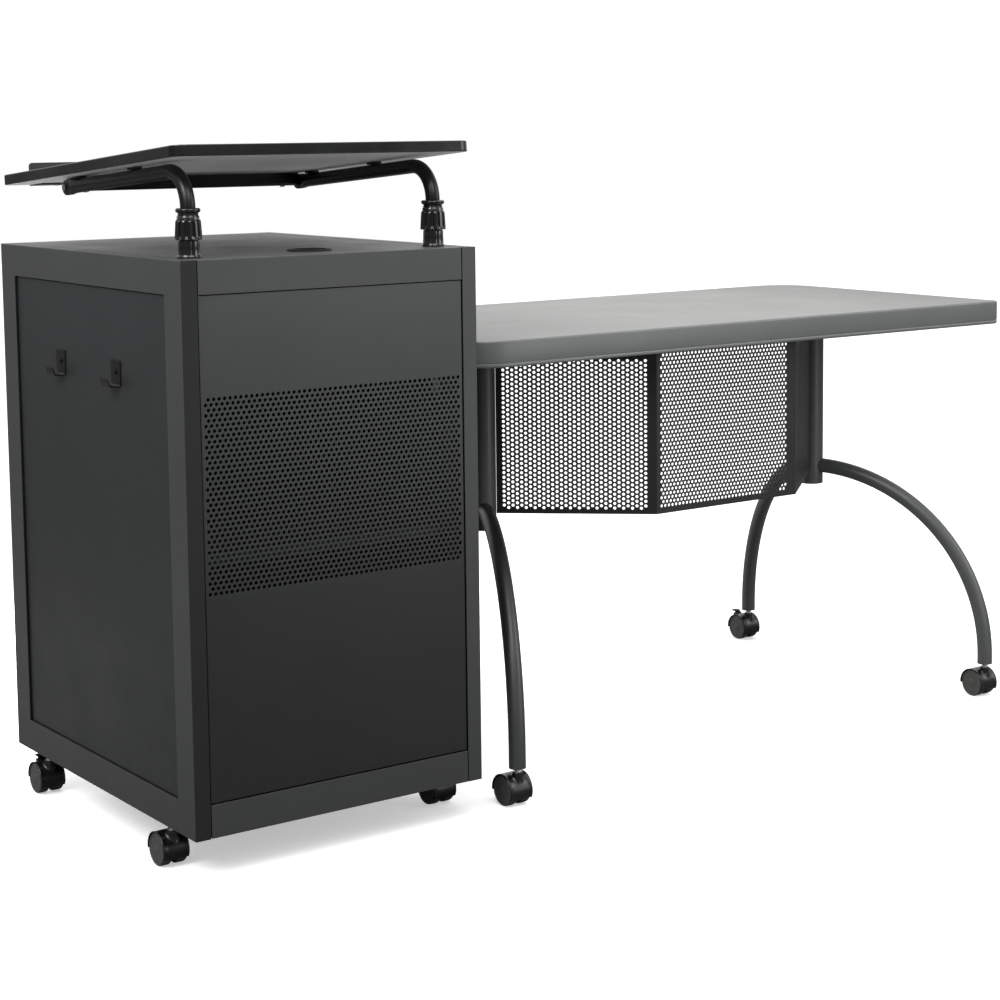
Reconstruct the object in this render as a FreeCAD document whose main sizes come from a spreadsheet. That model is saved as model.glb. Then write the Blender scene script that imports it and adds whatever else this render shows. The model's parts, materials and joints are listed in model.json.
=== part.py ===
# Lectern cabinet on casters with a height-adjustable reading board and a docked desk wing.
# All lengths are millimetres.  The size table uses the layout axes:
#   X runs along the front from the cabinet's left side to the desk's right end,
#   Y runs from the front (audience side) to the user side, Z is up from the floor.
# The exported frame has the same directions, with its origin at the bottom centre of the
# whole box, so every piece is shifted by (shift_x, shift_y, 0).
import FreeCAD, Part
import math
import os
import Sketcher

Vector = FreeCAD.Vector
Rotation = FreeCAD.Rotation
doc = FreeCAD.newDocument("lectern_podium")
sheet = doc.addObject("Spreadsheet::Sheet", "Sizes")

SIZES = dict(
    # layout corner to the bottom centre of the whole box
    shift_x=-870.75, shift_y=-345.004,
    # cabinet
    cab_width=508.0, cab_depth=650.0, cab_low=65.0, cab_high=914.0,
    frame_deep=25.4, stile_wide=54.0, rail_high=51.0, sheet_thick=1.5,
    edge_round=1.2, panel_gap=1.2, panel_recess=3.5, tray_deep=15.0,
    slot_gap=1.8, cap_deep=50.0, pan_deep=50.5, front_recess=1.5,
    panel_low=117.0, panel_top=862.8, nut_radius=9.0, nut_high=10.0,
    # rear door, its pivots and its cam lock
    door_play=3.1, door_low=118.2, door_top=861.6,
    door_pin_in=9.5, door_pin_deep=7.5, door_pin_radius=3.0, door_pin_bore=3.05, door_pin_long=9.5,
    hinge_reach=10.0, hinge_deep=17.0, hinge_inset=0.2, hinge_thick=1.2,
    hinge_gap=0.3, hinge_pin_drop=8.0, hinge_low_drop=1.5,
    lock_in=34.0, lock_hole=9.6, lock_barrel=9.55, lock_barrel_long=18.0, lock_deep=16.0,
    lock_face=13.0, lock_face_thick=3.0, lock_face_gap=0.05,
    cam_half=8.0, cam_long=42.0, cam_thick=3.0, key_half=1.1, key_up=6.0, key_floor=1.2,
    # inner shelf and its clips
    shelf_level=480.0, shelf_deep=20.0, shelf_in=32.0, shelf_front=30.0, shelf_long=580.0,
    clip_in=44.0, clip_wide=24.0, clip_drop=30.0, clip_front=90.0, clip_rear=500.0,
    # coat hooks
    hook_wide=32.0, hook_high=40.0, hook_base=714.0, hook_reach=23.0, hook_lip=10.0,
    hook_fold_in=2.0, hook_rear=412.0, hook_front=212.0, hook_screw_up=23.0,
    screw_shank=2.0, screw_hole=2.1, hook_screw_long=13.0,
    # cable grommet
    grommet_x=266.0, grommet_y=95.0, grommet_flange=35.0, grommet_body=30.8,
    grommet_bore=26.0, grommet_hole=31.0,
    # posts of the reading board
    post_x=42.4, post_y=55.0, tube_radius=11.1, tube_inner=9.5,
    guide_inner=11.18, guide_outer=12.5, guide_low=684.0, guide_top=938.0,
    tube_low=700.0, bend_low=986.0, bend_radius=52.0, arm_short=31.0,
    flat_ratio=0.66, flat_long=20.5, eye_overlap=0.5,
    collet_bore=12.6, nut_bore=14.0, thread_radius=13.9, lock_nut_up=26.4,
    groove_x=20.287, groove_y=3.577, groove_radius=1.95, groove_high=29.0,
    # reading board
    board_wide=508.0, board_long=635.0, board_thick=16.8, board_tilt=4.7,
    board_y=8.0, board_z=1078.28, board_round=20.0, band_thick=2.0,
    pilot_radius=1.95, pilot_deep=10.0, wide_hole=2.2,
    bar_y=467.54, bar_wide=20.0, bar_drop=21.0, bar_wall=1.6, bar_plug=8.0, bar_gap=0.02,
    bar_round=3.0, bar_screw_x=180.0, pivot_down=31.5, tab_radius=12.5,
    tab_half=4.0, tab_straight=13.5, tab_gap=0.5, pivot_shank=2.95, pivot_hole=3.0,
    pivot_extra=8.5,
    stop_half=203.2, stop_up=20.0, stop_flange=48.0, stop_thick=1.5, stop_gap=0.05,
    stop_behind=0.1, stop_round=6.0, stop_screw_x=170.0, stop_screw_in=34.0,
    bumper_upper=220.0, bumper_lower=420.0, bumper_half_x=6.0, bumper_half_y=13.0,
    bumper_gap=0.06, bumper_bore=2.0, board_screw=1.9, board_screw_in=9.0,
    # desk wing
    desk_left=527.0, desk_right=1761.0, desk_front=50.0, desk_rear=654.0,
    desk_top_z=757.5, desk_thick=44.0, desk_round=80.0, desk_tight=12.0,
    desk_band=4.0, desk_edge=3.5,
    column_left_x=747.0, column_right_x=1537.0, column_y=333.0, column_radius=23.0,
    column_inner=21.0, column_low=392.0, cap_up=0.6, cap_thick=4.0, cap_play=0.03,
    plate_thick=4.0, plate_half_x=80.0, plate_half_y=45.0, plate_bolt_x=65.0, plate_bolt_y=32.0,
    leg_radius=14.0, leg_inner=12.0, leg_low=64.0, leg_bend=350.0, leg_bend_low=78.0,
    leg_stop=5.0, cope_play=0.02, plug_overlap=0.5, plug_high=18.0,
    front_reach=353.9, rear_reach=329.6, front_angle=63.48, rear_angle=70.17,
    modesty_low=420.0, modesty_fold_left=977.5, modesty_fold_right=1306.5,
    modesty_front=131.0, modesty_side=283.0, modesty_angle=41.2, modesty_thick=1.2,
    modesty_flange=22.0, flange_tail=90.0, flange_bolt_near=30.0, flange_bolt_far=120.0,
    notch_side=2.0, notch_under=1.5,
    dock_wide=40.0, dock_thick=3.0, dock_front=130.0, dock_rear=540.0,
    dock_down=74.0, dock_out=84.0, dock_bolt_near=542.0, dock_bolt_far=572.0,
    dock_bolt_upper=30.0, dock_bolt_lower=58.0,
    bolt_shank=2.5, bolt_hole=2.6, bolt_head=4.6, bolt_long=15.0, bolt_bore_deep=16.0,
    # casters
    caster_x=12.5, caster_y=100.0, wheel_radius=25.0, trail=15.0,
    wheel_out=21.0, wheel_in=4.4, axle_radius=3.0, axle_bore=3.05,
    hood_outer=28.0, hood_inner=26.0, hood_half=21.6, hood_rear_open=3.0, hood_front_open=12.0,
    web_half=4.0, web_low=12.0, web_overlap=0.6,
    boss_radius=8.5, boss_low=38.0, boss_top=57.0, stem_bore_low=33.0,
    stem_pin=3.0, stem_bore=3.06, stem_radius=5.0, stem_hole=5.05, stem_low=34.0,
    stem_long=24.0, collar_radius=7.5, collar_gap=0.06, collar_thick=1.6, stem_up=1.0,
    lever_half=6.0, lever_ride=31.3, lever_barrel=2.4, lever_angle=50.0, lever_bore=1.26,
    lever_pin=1.2, lever_pin_out=2.0, neck_half=1.3, neck_high=6.6, thumb_low=5.4,
    thumb_high=7.8, thumb_long=11.833,
    ear_radius=3.4, ear_thick=2.0, ear_gap=0.5, ear_foot_wide=5.2, ear_foot_high=6.8,
    ear_foot_up=0.5,
)
for row, (name, value) in enumerate(SIZES.items(), start=1):
    sheet.set("A%d" % row, name)
    sheet.set("B%d" % row, "%.6g" % value)
    sheet.setAlias("B%d" % row, name)
doc.recompute()

PAST = 1.0          # how far a cutter runs past the material
FAR_PAST = 5.0      # the same, where there is free space behind
TOLERANCE = 0.02    # for finding edges by place


class Driven:
    """A driven length: its value now and the expression that keeps it bound to the sheet."""

    def __init__(self, value, text):
        self.value = float(value)
        self.text = text

    def __add__(self, other):
        other = driven(other)
        return Driven(self.value + other.value, "(%s + %s)" % (self.text, other.text))

    def __radd__(self, other):
        return driven(other) + self

    def __sub__(self, other):
        other = driven(other)
        return Driven(self.value - other.value, "(%s - %s)" % (self.text, other.text))

    def __rsub__(self, other):
        return driven(other) - self

    def __mul__(self, other):
        other = driven(other)
        return Driven(self.value * other.value, "(%s * %s)" % (self.text, other.text))

    def __rmul__(self, other):
        return driven(other) * self

    def __truediv__(self, other):
        other = driven(other)
        return Driven(self.value / other.value, "(%s / %s)" % (self.text, other.text))

    def __neg__(self):
        return Driven(-self.value, "(-1 * %s)" % self.text)


def driven(number):
    if isinstance(number, Driven):
        return number
    return Driven(number, "%.9g" % number if number >= 0 else "(%.9g)" % number)


def cosine(angle):
    return Driven(math.cos(math.radians(angle.value)), "cos(%s * 1 deg)" % angle.text)


def sine(angle):
    return Driven(math.sin(math.radians(angle.value)), "sin(%s * 1 deg)" % angle.text)


def tangent(angle):
    return Driven(math.tan(math.radians(angle.value)), "tan(%s * 1 deg)" % angle.text)


class Sizes:
    """The size table as attributes."""


size = Sizes()
for name, value in SIZES.items():
    setattr(size, name, Driven(value, "Sizes." + name))

PARTS = []          # finished pieces, in order
UPRIGHT = Rotation(Vector(0, 0, 1), 0)
name_count = 0


def fresh(stem):
    global name_count
    name_count += 1
    return "%s_%03d" % (stem, name_count)


def bind(obj, prop, value):
    obj.setExpression(prop, driven(value).text)


def place(obj, x, y, z, rotation=UPRIGHT):
    """Put an object at a bound position."""
    x, y, z = driven(x), driven(y), driven(z)
    obj.Placement = FreeCAD.Placement(Vector(x.value, y.value, z.value), rotation)
    bind(obj, "Placement.Base.x", x)
    bind(obj, "Placement.Base.y", y)
    bind(obj, "Placement.Base.z", z)
    return obj


def finish(obj, label, x=0, y=0, z=0, rotation=UPRIGHT):
    """Name a piece and shift it from the layout axes to the exported frame."""
    obj.Label = label
    place(obj, driven(x) + size.shift_x, driven(y) + size.shift_y, z, rotation)
    PARTS.append(obj)


# ---------------------------------------------------------------- PartDesign helpers
def new_body(stem):
    return doc.addObject("PartDesign::Body", fresh(stem + "_body"))


def origin_feature(body, role):
    for feature in body.Origin.OriginFeatures:
        if feature.Role == role:
            return feature
    raise RuntimeError("no origin feature " + role)


def new_sketch(body, plane="XY_Plane", offset=None):
    sketch = body.newObject("Sketcher::SketchObject", fresh("sketch"))
    sketch.AttachmentSupport = [(origin_feature(body, plane), "")]
    sketch.MapMode = "FlatFace"
    if offset is not None:
        offset = driven(offset)
        sketch.AttachmentOffset = FreeCAD.Placement(Vector(0, 0, offset.value), UPRIGHT)
        bind(sketch, "AttachmentOffset.Base.z", offset)
    return sketch


def constrain(sketch, value, *terms):
    """Add a dimension bound to the sheet."""
    index = sketch.addConstraint(Sketcher.Constraint(*terms, value.value))
    bind(sketch, "Constraints[%d]" % index, value)


def pin_point(sketch, geometry, end, x, y):
    """Fix a point's coordinates; a zero coordinate puts it on the sketch axis."""
    for value, kind, axis in ((driven(x), "DistanceX", -2), (driven(y), "DistanceY", -1)):
        if abs(value.value) < 1e-9:
            sketch.addConstraint(Sketcher.Constraint("PointOnObject", geometry, end, axis))
        else:
            constrain(sketch, value, kind, -1, 1, geometry, end)


def polygon(sketch, points):
    points = [(driven(x), driven(y)) for x, y in points]
    first = sketch.GeometryCount
    count = len(points)
    for i in range(count):
        (x0, y0), (x1, y1) = points[i], points[(i + 1) % count]
        line = Part.LineSegment(Vector(x0.value, y0.value, 0), Vector(x1.value, y1.value, 0))
        sketch.addGeometry(line, False)
    for i in range(count):
        following = first + (i + 1) % count
        sketch.addConstraint(Sketcher.Constraint("Coincident", first + i, 2, following, 1))
    for i in range(count):
        pin_point(sketch, first + i, 1, *points[i])


def rect(sketch, x0, y0, x1, y1):
    polygon(sketch, [(x0, y0), (x1, y0), (x1, y1), (x0, y1)])


def circle(sketch, x, y, radius):
    x, y, radius = driven(x), driven(y), driven(radius)
    shape = Part.Circle(Vector(x.value, y.value, 0), Vector(0, 0, 1), radius.value)
    geometry = sketch.addGeometry(shape, False)
    pin_point(sketch, geometry, 3, x, y)
    constrain(sketch, radius, "Radius", geometry)


def rect_sketch(body, x0, y0, x1, y1, offset=None):
    sketch = new_sketch(body, offset=offset)
    rect(sketch, x0, y0, x1, y1)
    return sketch


def circle_sketch(body, circles, plane="XY_Plane", offset=None):
    """Sketch of circles given as (x, y, radius)."""
    sketch = new_sketch(body, plane, offset)
    for x, y, radius in circles:
        circle(sketch, x, y, radius)
    return sketch


def with_radius(spots, radius):
    return [(x, y, radius) for x, y in spots]


def extrude(body, kind, sketch, length, reverse):
    feature = body.newObject("PartDesign::" + kind, fresh(kind.lower()))
    feature.Profile = sketch
    feature.Length = driven(length).value
    bind(feature, "Length", length)
    feature.Reversed = reverse
    doc.recompute()
    return feature


def pad(body, sketch, length, reverse=False):
    extrude(body, "Pad", sketch, length, reverse)


def pocket(body, sketch, length, reverse=False):
    before = body.Shape.Volume
    feature = extrude(body, "Pocket", sketch, length, reverse)
    if not body.Shape.Volume < before - 1e-3:
        raise RuntimeError("pocket %s of %s cuts nothing" % (feature.Name, body.Name))
    return feature


def revolve(body, profile, axis="V_Axis"):
    """Turn a closed outline, drawn in the XZ plane, about a sketch axis."""
    sketch = new_sketch(body, "XZ_Plane")
    polygon(sketch, profile)
    feature = body.newObject("PartDesign::Revolution", fresh("revolution"))
    feature.Profile = sketch
    feature.ReferenceAxis = (sketch, [axis])
    feature.Angle = 360.0
    doc.recompute()


def sweep(body, profile, spine):
    feature = body.newObject("PartDesign::AdditivePipe", fresh("pipe"))
    feature.Profile = profile
    feature.Spine = (spine, [])
    doc.recompute()


def fillet(body, radius, test):
    """Round the edges of the body's tip that pass the test."""
    doc.recompute()
    tip = body.Tip
    names = ["Edge%d" % i for i, edge in enumerate(tip.Shape.Edges, start=1) if test(edge)]
    if not names:
        raise RuntimeError("no edges to round on " + body.Name)
    feature = body.newObject("PartDesign::Fillet", fresh("fillet"))
    feature.Base = (tip, names)
    feature.Radius = driven(radius).value
    bind(feature, "Radius", radius)
    doc.recompute()


def near(first, second):
    return abs(first - second) < TOLERANCE


def vertical_at(edge, corners):
    """The edge is upright and stands at one of the (x, y) corners."""
    points = [vertex.Point for vertex in edge.Vertexes]
    if len(points) != 2 or abs(points[0].x - points[1].x) > TOLERANCE \
            or abs(points[0].y - points[1].y) > TOLERANCE:
        return False
    return any(near(points[0].x, x.value) and near(points[0].y, y.value) for x, y in corners)


def at_level(edge, z):
    bounds = edge.BoundBox
    return near(bounds.ZMin, z) and near(bounds.ZMax, z)


def on_outline(edge, x0, y0, x1, y1):
    """The edge touches a side of the rectangle, so it is one of its sides or corner arcs."""
    bounds = edge.BoundBox
    return (near(bounds.XMin, x0.value) or near(bounds.XMax, x1.value)
            or near(bounds.YMin, y0.value) or near(bounds.YMax, y1.value))


# ---------------------------------------------------------------- Part helpers
TURNS = {"Z": UPRIGHT, "X": Rotation(Vector(0, 1, 0), 90), "Y": Rotation(Vector(1, 0, 0), -90)}


def solid(kind, stem, **lengths):
    obj = doc.addObject(kind, fresh(stem))
    for prop, value in lengths.items():
        bind(obj, prop, value)
    return obj


def box(x0, y0, z0, x1, y1, z1):
    x0, y0, z0 = driven(x0), driven(y0), driven(z0)
    block = solid("Part::Box", "block", Length=x1 - x0, Width=y1 - y0, Height=z1 - z0)
    return place(block, x0, y0, z0)


def cylinder(x, y, z, radius, height, axis="Z"):
    """Cylinder that starts at (x, y, z) and runs along the positive axis."""
    return place(solid("Part::Cylinder", "round", Radius=radius, Height=height),
                 x, y, z, TURNS[axis])


def fuse(shapes):
    union = doc.addObject("Part::MultiFuse", fresh("union"))
    union.Shapes = shapes
    return union


def cut(base, tools):
    result = doc.addObject("Part::Cut", fresh("cut"))
    result.Tool = tools[0] if len(tools) == 1 else fuse(tools)
    result.Base = base
    return result


def group(shapes):
    compound = doc.addObject("Part::Compound", fresh("group"))
    compound.Links = shapes
    return compound


def upright_tube(x, y, low, top, outer, inner):
    return cut(cylinder(x, y, low, outer, top - low),
               [cylinder(x, y, low - PAST, inner, top - low + 2 * PAST)])


def screw(axis, across, seat, shank_long, side=-1, *, head_radius, head_gap, head_top,
          shank_radius, shank_sunk, slot_floor, slots):
    """Screw along an axis, its head on the given side of the seat.

    across is (x, y) for axis Z and (y, z) for axis X; head_gap, head_top, shank_sunk and
    slot_floor are distances from the seat; slots are half sizes of the recess bars.
    """
    first, second = across

    def span(close, far):
        return (seat + close, seat + far) if side > 0 else (seat - far, seat - close)

    def rod(ends, radius):
        low, high = ends
        start = (first, second, low) if axis == "Z" else (low, first, second)
        return cylinder(*start, radius, high - low, axis)

    def slot_bar(half_first, half_second):
        low, high = span(slot_floor, FAR_PAST)
        sides = (first - half_first, second - half_second, first + half_first, second + half_second)
        if axis == "Z":
            return box(sides[0], sides[1], low, sides[2], sides[3], high)
        return box(low, sides[0], sides[1], high, sides[2], sides[3])

    head = rod(span(head_gap, head_top), head_radius)
    shank = rod(span(shank_sunk - shank_long, shank_sunk), shank_radius)
    first, second = driven(first), driven(second)
    return cut(fuse([head, shank]), [slot_bar(*half) for half in slots])


def cross(reach, half):
    """The two bars of a cross recess."""
    return (reach, half), (half, reach)


def axes(x_to, y_to, z_to):
    return Rotation(Vector(*x_to), Vector(*y_to), Vector(*z_to), "XYZ")


FACE_LEFT = axes((0, -1, 0), (0, 0, 1), (-1, 0, 0))    # outer face to -X, local X runs to -Y
FACE_RIGHT = axes((0, 1, 0), (0, 0, 1), (1, 0, 0))     # outer face to +X, local X runs to +Y
FACE_FRONT = axes((1, 0, 0), (0, 0, 1), (0, -1, 0))    # outer face to -Y
FACE_REAR = axes((1, 0, 0), (0, 0, -1), (0, 1, 0))     # outer face to +Y, local Y runs down
FACE_DOWN = axes((1, 0, 0), (0, -1, 0), (0, 0, -1))    # outer face down, local Y runs to -Y


# ================================================================ cabinet
thick = size.sheet_thick
SHORT_EDGE = 60     # tray edges up to this length stay sharp


def tray(stem, wide, high, deep, holes=()):
    """A folded sheet tray: closed face at local z = deep, open at z = 0; holes (x, y, radius)."""
    body = new_body(stem)
    pad(body, rect_sketch(body, 0, 0, wide, high), deep)
    pocket(body, rect_sketch(body, thick, thick, wide - thick, high - thick), deep - thick, True)
    if holes:
        pocket(body, circle_sketch(body, holes), deep + PAST, True)
    fillet(body, size.edge_round, lambda edge: at_level(edge, deep.value)
           and on_outline(edge, driven(0), driven(0), wide, high) and edge.Length > SHORT_EDGE)
    return body


frame_high = size.cab_high - size.cab_low


def frame_ring(sketch, inset):
    """Outline of the side frame and its opening, both moved into the metal by inset."""
    wide, stile, rail = size.cab_depth, size.stile_wide, size.rail_high
    rect(sketch, inset, inset, wide - inset, frame_high - inset)
    rect(sketch, stile - inset, rail - inset, wide - stile + inset, frame_high - rail + inset)
    return sketch


def side_frame():
    """Ring of folded channel, open to the cabinet's inside, two weld nuts in its bottom rail."""
    wide, deep = size.cab_depth, size.frame_deep
    body = new_body("side_frame")
    pad(body, frame_ring(new_sketch(body), 0), deep)
    pocket(body, frame_ring(new_sketch(body), thick), deep - thick, True)
    nuts = [(x, deep - size.caster_x) for x in (size.caster_y, wide - size.caster_y)]
    pad(body, circle_sketch(body, with_radius(nuts, size.nut_radius), "XZ_Plane"),
        size.nut_high, True)
    pocket(body, circle_sketch(body, with_radius(nuts, size.stem_hole), "XZ_Plane"),
           size.nut_high + FAR_PAST)
    fillet(body, size.edge_round, lambda edge: at_level(edge, deep.value)
           and on_outline(edge, driven(0), driven(0), wide, frame_high))
    return body


finish(side_frame(), "side_frame_left", size.frame_deep, size.cab_depth, size.cab_low, FACE_LEFT)
finish(side_frame(), "side_frame_right", size.cab_width - size.frame_deep, 0, size.cab_low,
       FACE_RIGHT)

# side panels: the left one takes the coat hooks, the right one the desk's dock brackets
panel_y = size.stile_wide + size.panel_gap
panel_z = size.cab_low + size.rail_high + size.panel_gap
panel_inset = size.panel_recess + size.tray_deep
hook_fronts = (size.hook_rear, size.hook_front)
hook_mid = size.hook_wide / 2
hook_screw_z = size.hook_base + size.hook_screw_up
desk_under = size.desk_top_z - size.desk_thick
dock_fronts = (size.dock_front, size.dock_rear)
dock_mid = size.dock_wide / 2
dock_levels = (desk_under - size.dock_bolt_upper, desk_under - size.dock_bolt_lower)


def side_panel(holes):
    return tray("side_panel", size.cab_depth - 2 * size.stile_wide - 2 * size.panel_gap,
                frame_high - 2 * size.rail_high - 2 * size.panel_gap, size.tray_deep, holes)


finish(side_panel([(size.cab_depth - panel_y - y - hook_mid, hook_screw_z - panel_z,
                    size.screw_hole) for y in hook_fronts]),
       "side_panel_left", panel_inset, size.cab_depth - panel_y, panel_z, FACE_LEFT)
finish(side_panel([(y + dock_mid - panel_y, z - panel_z, size.bolt_hole)
                   for y in dock_fronts for z in dock_levels]),
       "side_panel_right", size.cab_width - panel_inset, panel_y, panel_z, FACE_RIGHT)

# trays between the side frames
inner_x = size.frame_deep + size.slot_gap
inner_wide = size.cab_width - 2 * inner_x
post_xs = (size.post_x, size.cab_width - size.post_x)
cap_holes = [(size.grommet_x - inner_x, size.grommet_y, size.grommet_hole)]
cap_holes += [(x - inner_x, size.post_y, size.collet_bore) for x in post_xs]
finish(tray("top_cap", inner_wide, size.cab_depth, size.cap_deep, cap_holes),
       "top_cap", inner_x, 0, size.cab_high - size.cap_deep)
finish(tray("base_pan", inner_wide, size.cab_depth, size.pan_deep),
       "base_pan", inner_x, size.cab_depth, size.cab_low + size.pan_deep, FACE_DOWN)
finish(tray("front_panel", inner_wide, size.panel_top - size.panel_low, size.tray_deep),
       "front_panel", inner_x, size.front_recess + size.tray_deep, size.panel_low, FACE_FRONT)

# rear door, hinged on two pivot pins at its right edge, with a cam lock at its left
door_x = size.frame_deep + size.door_play
door_wide = size.cab_width - 2 * door_x
door_high = size.door_top - size.door_low
door_face_y = size.cab_depth - size.front_recess
door_pin_x = size.cab_width - door_x - size.door_pin_in


def rear_door():
    body = tray("rear_door", door_wide, door_high, size.tray_deep,
                [(size.lock_in, door_high / 2, size.lock_hole)])
    pin_bore = [(door_pin_x - door_x, size.door_pin_deep, size.door_pin_bore)]
    pocket(body, circle_sketch(body, pin_bore, "XZ_Plane"), door_high + FAR_PAST)
    return body


def door_pivots():
    """A plate from the right side frame with a pin, above and below the door."""
    pivots = []
    low_z = size.door_low - size.hinge_low_drop
    for plate_z, pin_z in ((size.door_top + size.hinge_gap, size.door_top - size.hinge_pin_drop),
                           (low_z, low_z)):
        plate = box(door_pin_x - size.hinge_reach, size.cab_depth - size.hinge_deep, plate_z,
                    size.cab_width - size.frame_deep, size.cab_depth - size.hinge_inset,
                    plate_z + size.hinge_thick)
        pin = cylinder(door_pin_x, door_face_y - size.door_pin_deep, pin_z,
                       size.door_pin_radius, size.door_pin_long)
        pivots.append(fuse([plate, pin]))
    return group(pivots)


def door_lock():
    """Face disc, barrel through the door and a cam that reaches down, with a key slot."""
    deep, half = size.lock_deep, size.cam_half
    body = fuse([
        cylinder(0, size.lock_face_gap, 0, size.lock_face, size.lock_face_thick, "Y"),
        cylinder(0, -deep, 0, size.lock_barrel, size.lock_barrel_long, "Y"),
        box(-half, -deep - size.cam_thick, -size.cam_long, half, -deep, half)])
    return cut(body, [box(-size.key_half, size.key_floor, -size.key_up,
                          size.key_half, FAR_PAST, size.key_up)])


finish(rear_door(), "rear_door", door_x, door_face_y - size.tray_deep, size.door_top, FACE_REAR)
finish(door_pivots(), "door_pivots")
finish(door_lock(), "door_lock", door_x + size.lock_in, door_face_y, size.door_low + door_high / 2)

# inner shelf with its four clips
shelf_z = size.shelf_level - size.shelf_deep + thick
finish(tray("inner_shelf", size.cab_width - 2 * size.shelf_in, size.shelf_long, size.shelf_deep),
       "inner_shelf", size.shelf_in, size.shelf_front, shelf_z)


def shelf_clips():
    """Angles on the side panels' inner faces: a ledge and a web against the panel."""
    wall, far_side = size.panel_recess + thick, size.cab_width
    clips = []
    # ledge from and to, web from and to
    for ledge0, ledge1, web0, web1 in (
            (wall, size.clip_in, wall, wall + thick),
            (far_side - size.clip_in, far_side - wall, far_side - wall - thick, far_side - wall)):
        for y in (size.clip_front, size.clip_rear):
            rear = y + size.clip_wide
            clips.append(fuse([box(ledge0, y, shelf_z - thick, ledge1, rear, shelf_z),
                               box(web0, y, shelf_z - size.clip_drop, web1, rear, shelf_z)]))
    return group(clips)


finish(shelf_clips(), "shelf_clips")


def cable_grommet():
    """Flange ring on a body that drops through the top cap."""
    bore, outer, flange = size.grommet_bore, size.grommet_body, size.grommet_flange
    body = new_body("grommet")
    # radius, height above the cap
    revolve(body, [(bore, -18), (outer, -18), (outer, 0), (flange, 0),
                   (flange, 1.0), (flange - 2.2, 2.6), (bore + 1.2, 2.6), (bore, 1.4)])
    return body


finish(cable_grommet(), "cable_grommet", size.grommet_x, size.grommet_y, size.cab_high)

panel_left = size.panel_recess      # outer face of the left side panel
HOOK_SCREW = dict(head_radius=4.0, head_gap=0, head_top=2.2, shank_radius=size.screw_shank,
                  shank_sunk=0.5, slot_floor=1.2, slots=cross(2.4, 0.4))


def coat_hook(front):
    """Plate on the panel, ledge folded outwards and an upturned lip."""
    rear = front + size.hook_wide
    base, tip = size.hook_base, panel_left - size.hook_reach
    fold_front, fold_rear = front + size.hook_fold_in, rear - size.hook_fold_in
    hook = fuse([
        box(panel_left - thick, front, base, panel_left, rear, base + size.hook_high),
        box(tip, fold_front, base, panel_left, fold_rear, base + thick),
        box(tip, fold_front, base, tip + thick, fold_rear, base + size.hook_lip)])
    return cut(hook, [cylinder(panel_left - FAR_PAST, front + hook_mid, hook_screw_z,
                               size.screw_hole, 2 * FAR_PAST, "X")])


finish(group([coat_hook(y) for y in hook_fronts]), "coat_hooks")
finish(group([screw("X", (y + hook_mid, hook_screw_z), panel_left - thick, size.hook_screw_long,
                    **HOOK_SCREW) for y in hook_fronts]), "hook_screws")

# ================================================================ posts of the reading board
finish(group([upright_tube(x, size.post_y, size.guide_low, size.guide_top,
                           size.guide_outer, size.guide_inner) for x in post_xs]), "guide_tubes")


def collet():
    """Tapered sleeve, threaded neck under the nut, flange ring above it."""
    bore, neck = size.collet_bore, size.thread_radius
    body = new_body("collet")
    # radius, height above the top cap
    revolve(body, [
        (bore, 0), (17.2, 0), (17.4, 1.2), (16.4, 6), (15.7, 25.6), (neck, 26.0), (neck, 64.2),
        (15.2, 64.8), (17.4, 65.6), (18.0, 66.8), (18.0, 69.6), (17.2, 71.4), (13.4, 72.0),
        (12.0, 72.0), (11.2, 70.8), (11.2, 24.1), (bore, 24.1)])
    return body


finish(group([place(collet(), x, size.post_y, size.cab_high) for x in post_xs]), "collet_bodies")


def lock_nut():
    """Grooved twist nut with a plain neck."""
    body = new_body("lock_nut")
    # radius, height above the nut's lower face
    revolve(body, [
        (size.nut_bore, 0), (19.2, 0), (19.9, 0.8), (19.9, 2.0), (18.6, 27.6), (17.9, 29.0),
        (16.4, 29.4), (15.4, 30.4), (15.4, 36.0), (15.0, 36.6), (size.nut_bore, 36.6)])
    groove_spot = [(size.groove_x, size.groove_y, size.groove_radius)]
    groove = pocket(body, circle_sketch(body, groove_spot), size.groove_high, True)
    pattern = body.newObject("PartDesign::PolarPattern", fresh("pattern"))
    pattern.Originals = [groove]
    pattern.Axis = (origin_feature(body, "Z_Axis"), [""])
    pattern.Angle = 360
    pattern.Occurrences = 18
    body.Tip = pattern
    doc.recompute()
    return body


for label, x in zip(("lock_nut_left", "lock_nut_right"), post_xs):
    finish(lock_nut(), label, x, size.post_y, size.cab_high + size.lock_nut_up)

# board frame: origin at the middle of the high (front) edge of the top face,
# local +Y down the slope towards the user
board_mid = size.cab_width / 2
tilt_cos, tilt_sin = cosine(size.board_tilt), sine(size.board_tilt)
SLOPE = Rotation(Vector(1, 0, 0), -size.board_tilt.value)
# pivot axis in the layout axes
pivot_y = size.board_y + size.bar_y * tilt_cos - size.pivot_down * tilt_sin
pivot_z = size.board_z - size.bar_y * tilt_sin - size.pivot_down * tilt_cos


def finish_tilted(obj, label):
    """Name a piece drawn in the board frame and put it in place."""
    obj.Label = label
    obj.Placement = FreeCAD.Placement(Vector(0, 0, 0), SLOPE)
    angle = Driven(-size.board_tilt.value, "(-1 * Sizes.board_tilt) * 1 deg")
    bind(obj, "Placement.Rotation.Angle", angle)
    bind(obj, "Placement.Base.x", board_mid + size.shift_x)
    bind(obj, "Placement.Base.y", size.board_y + size.shift_y)
    bind(obj, "Placement.Base.z", size.board_z)
    PARTS.append(obj)


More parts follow.
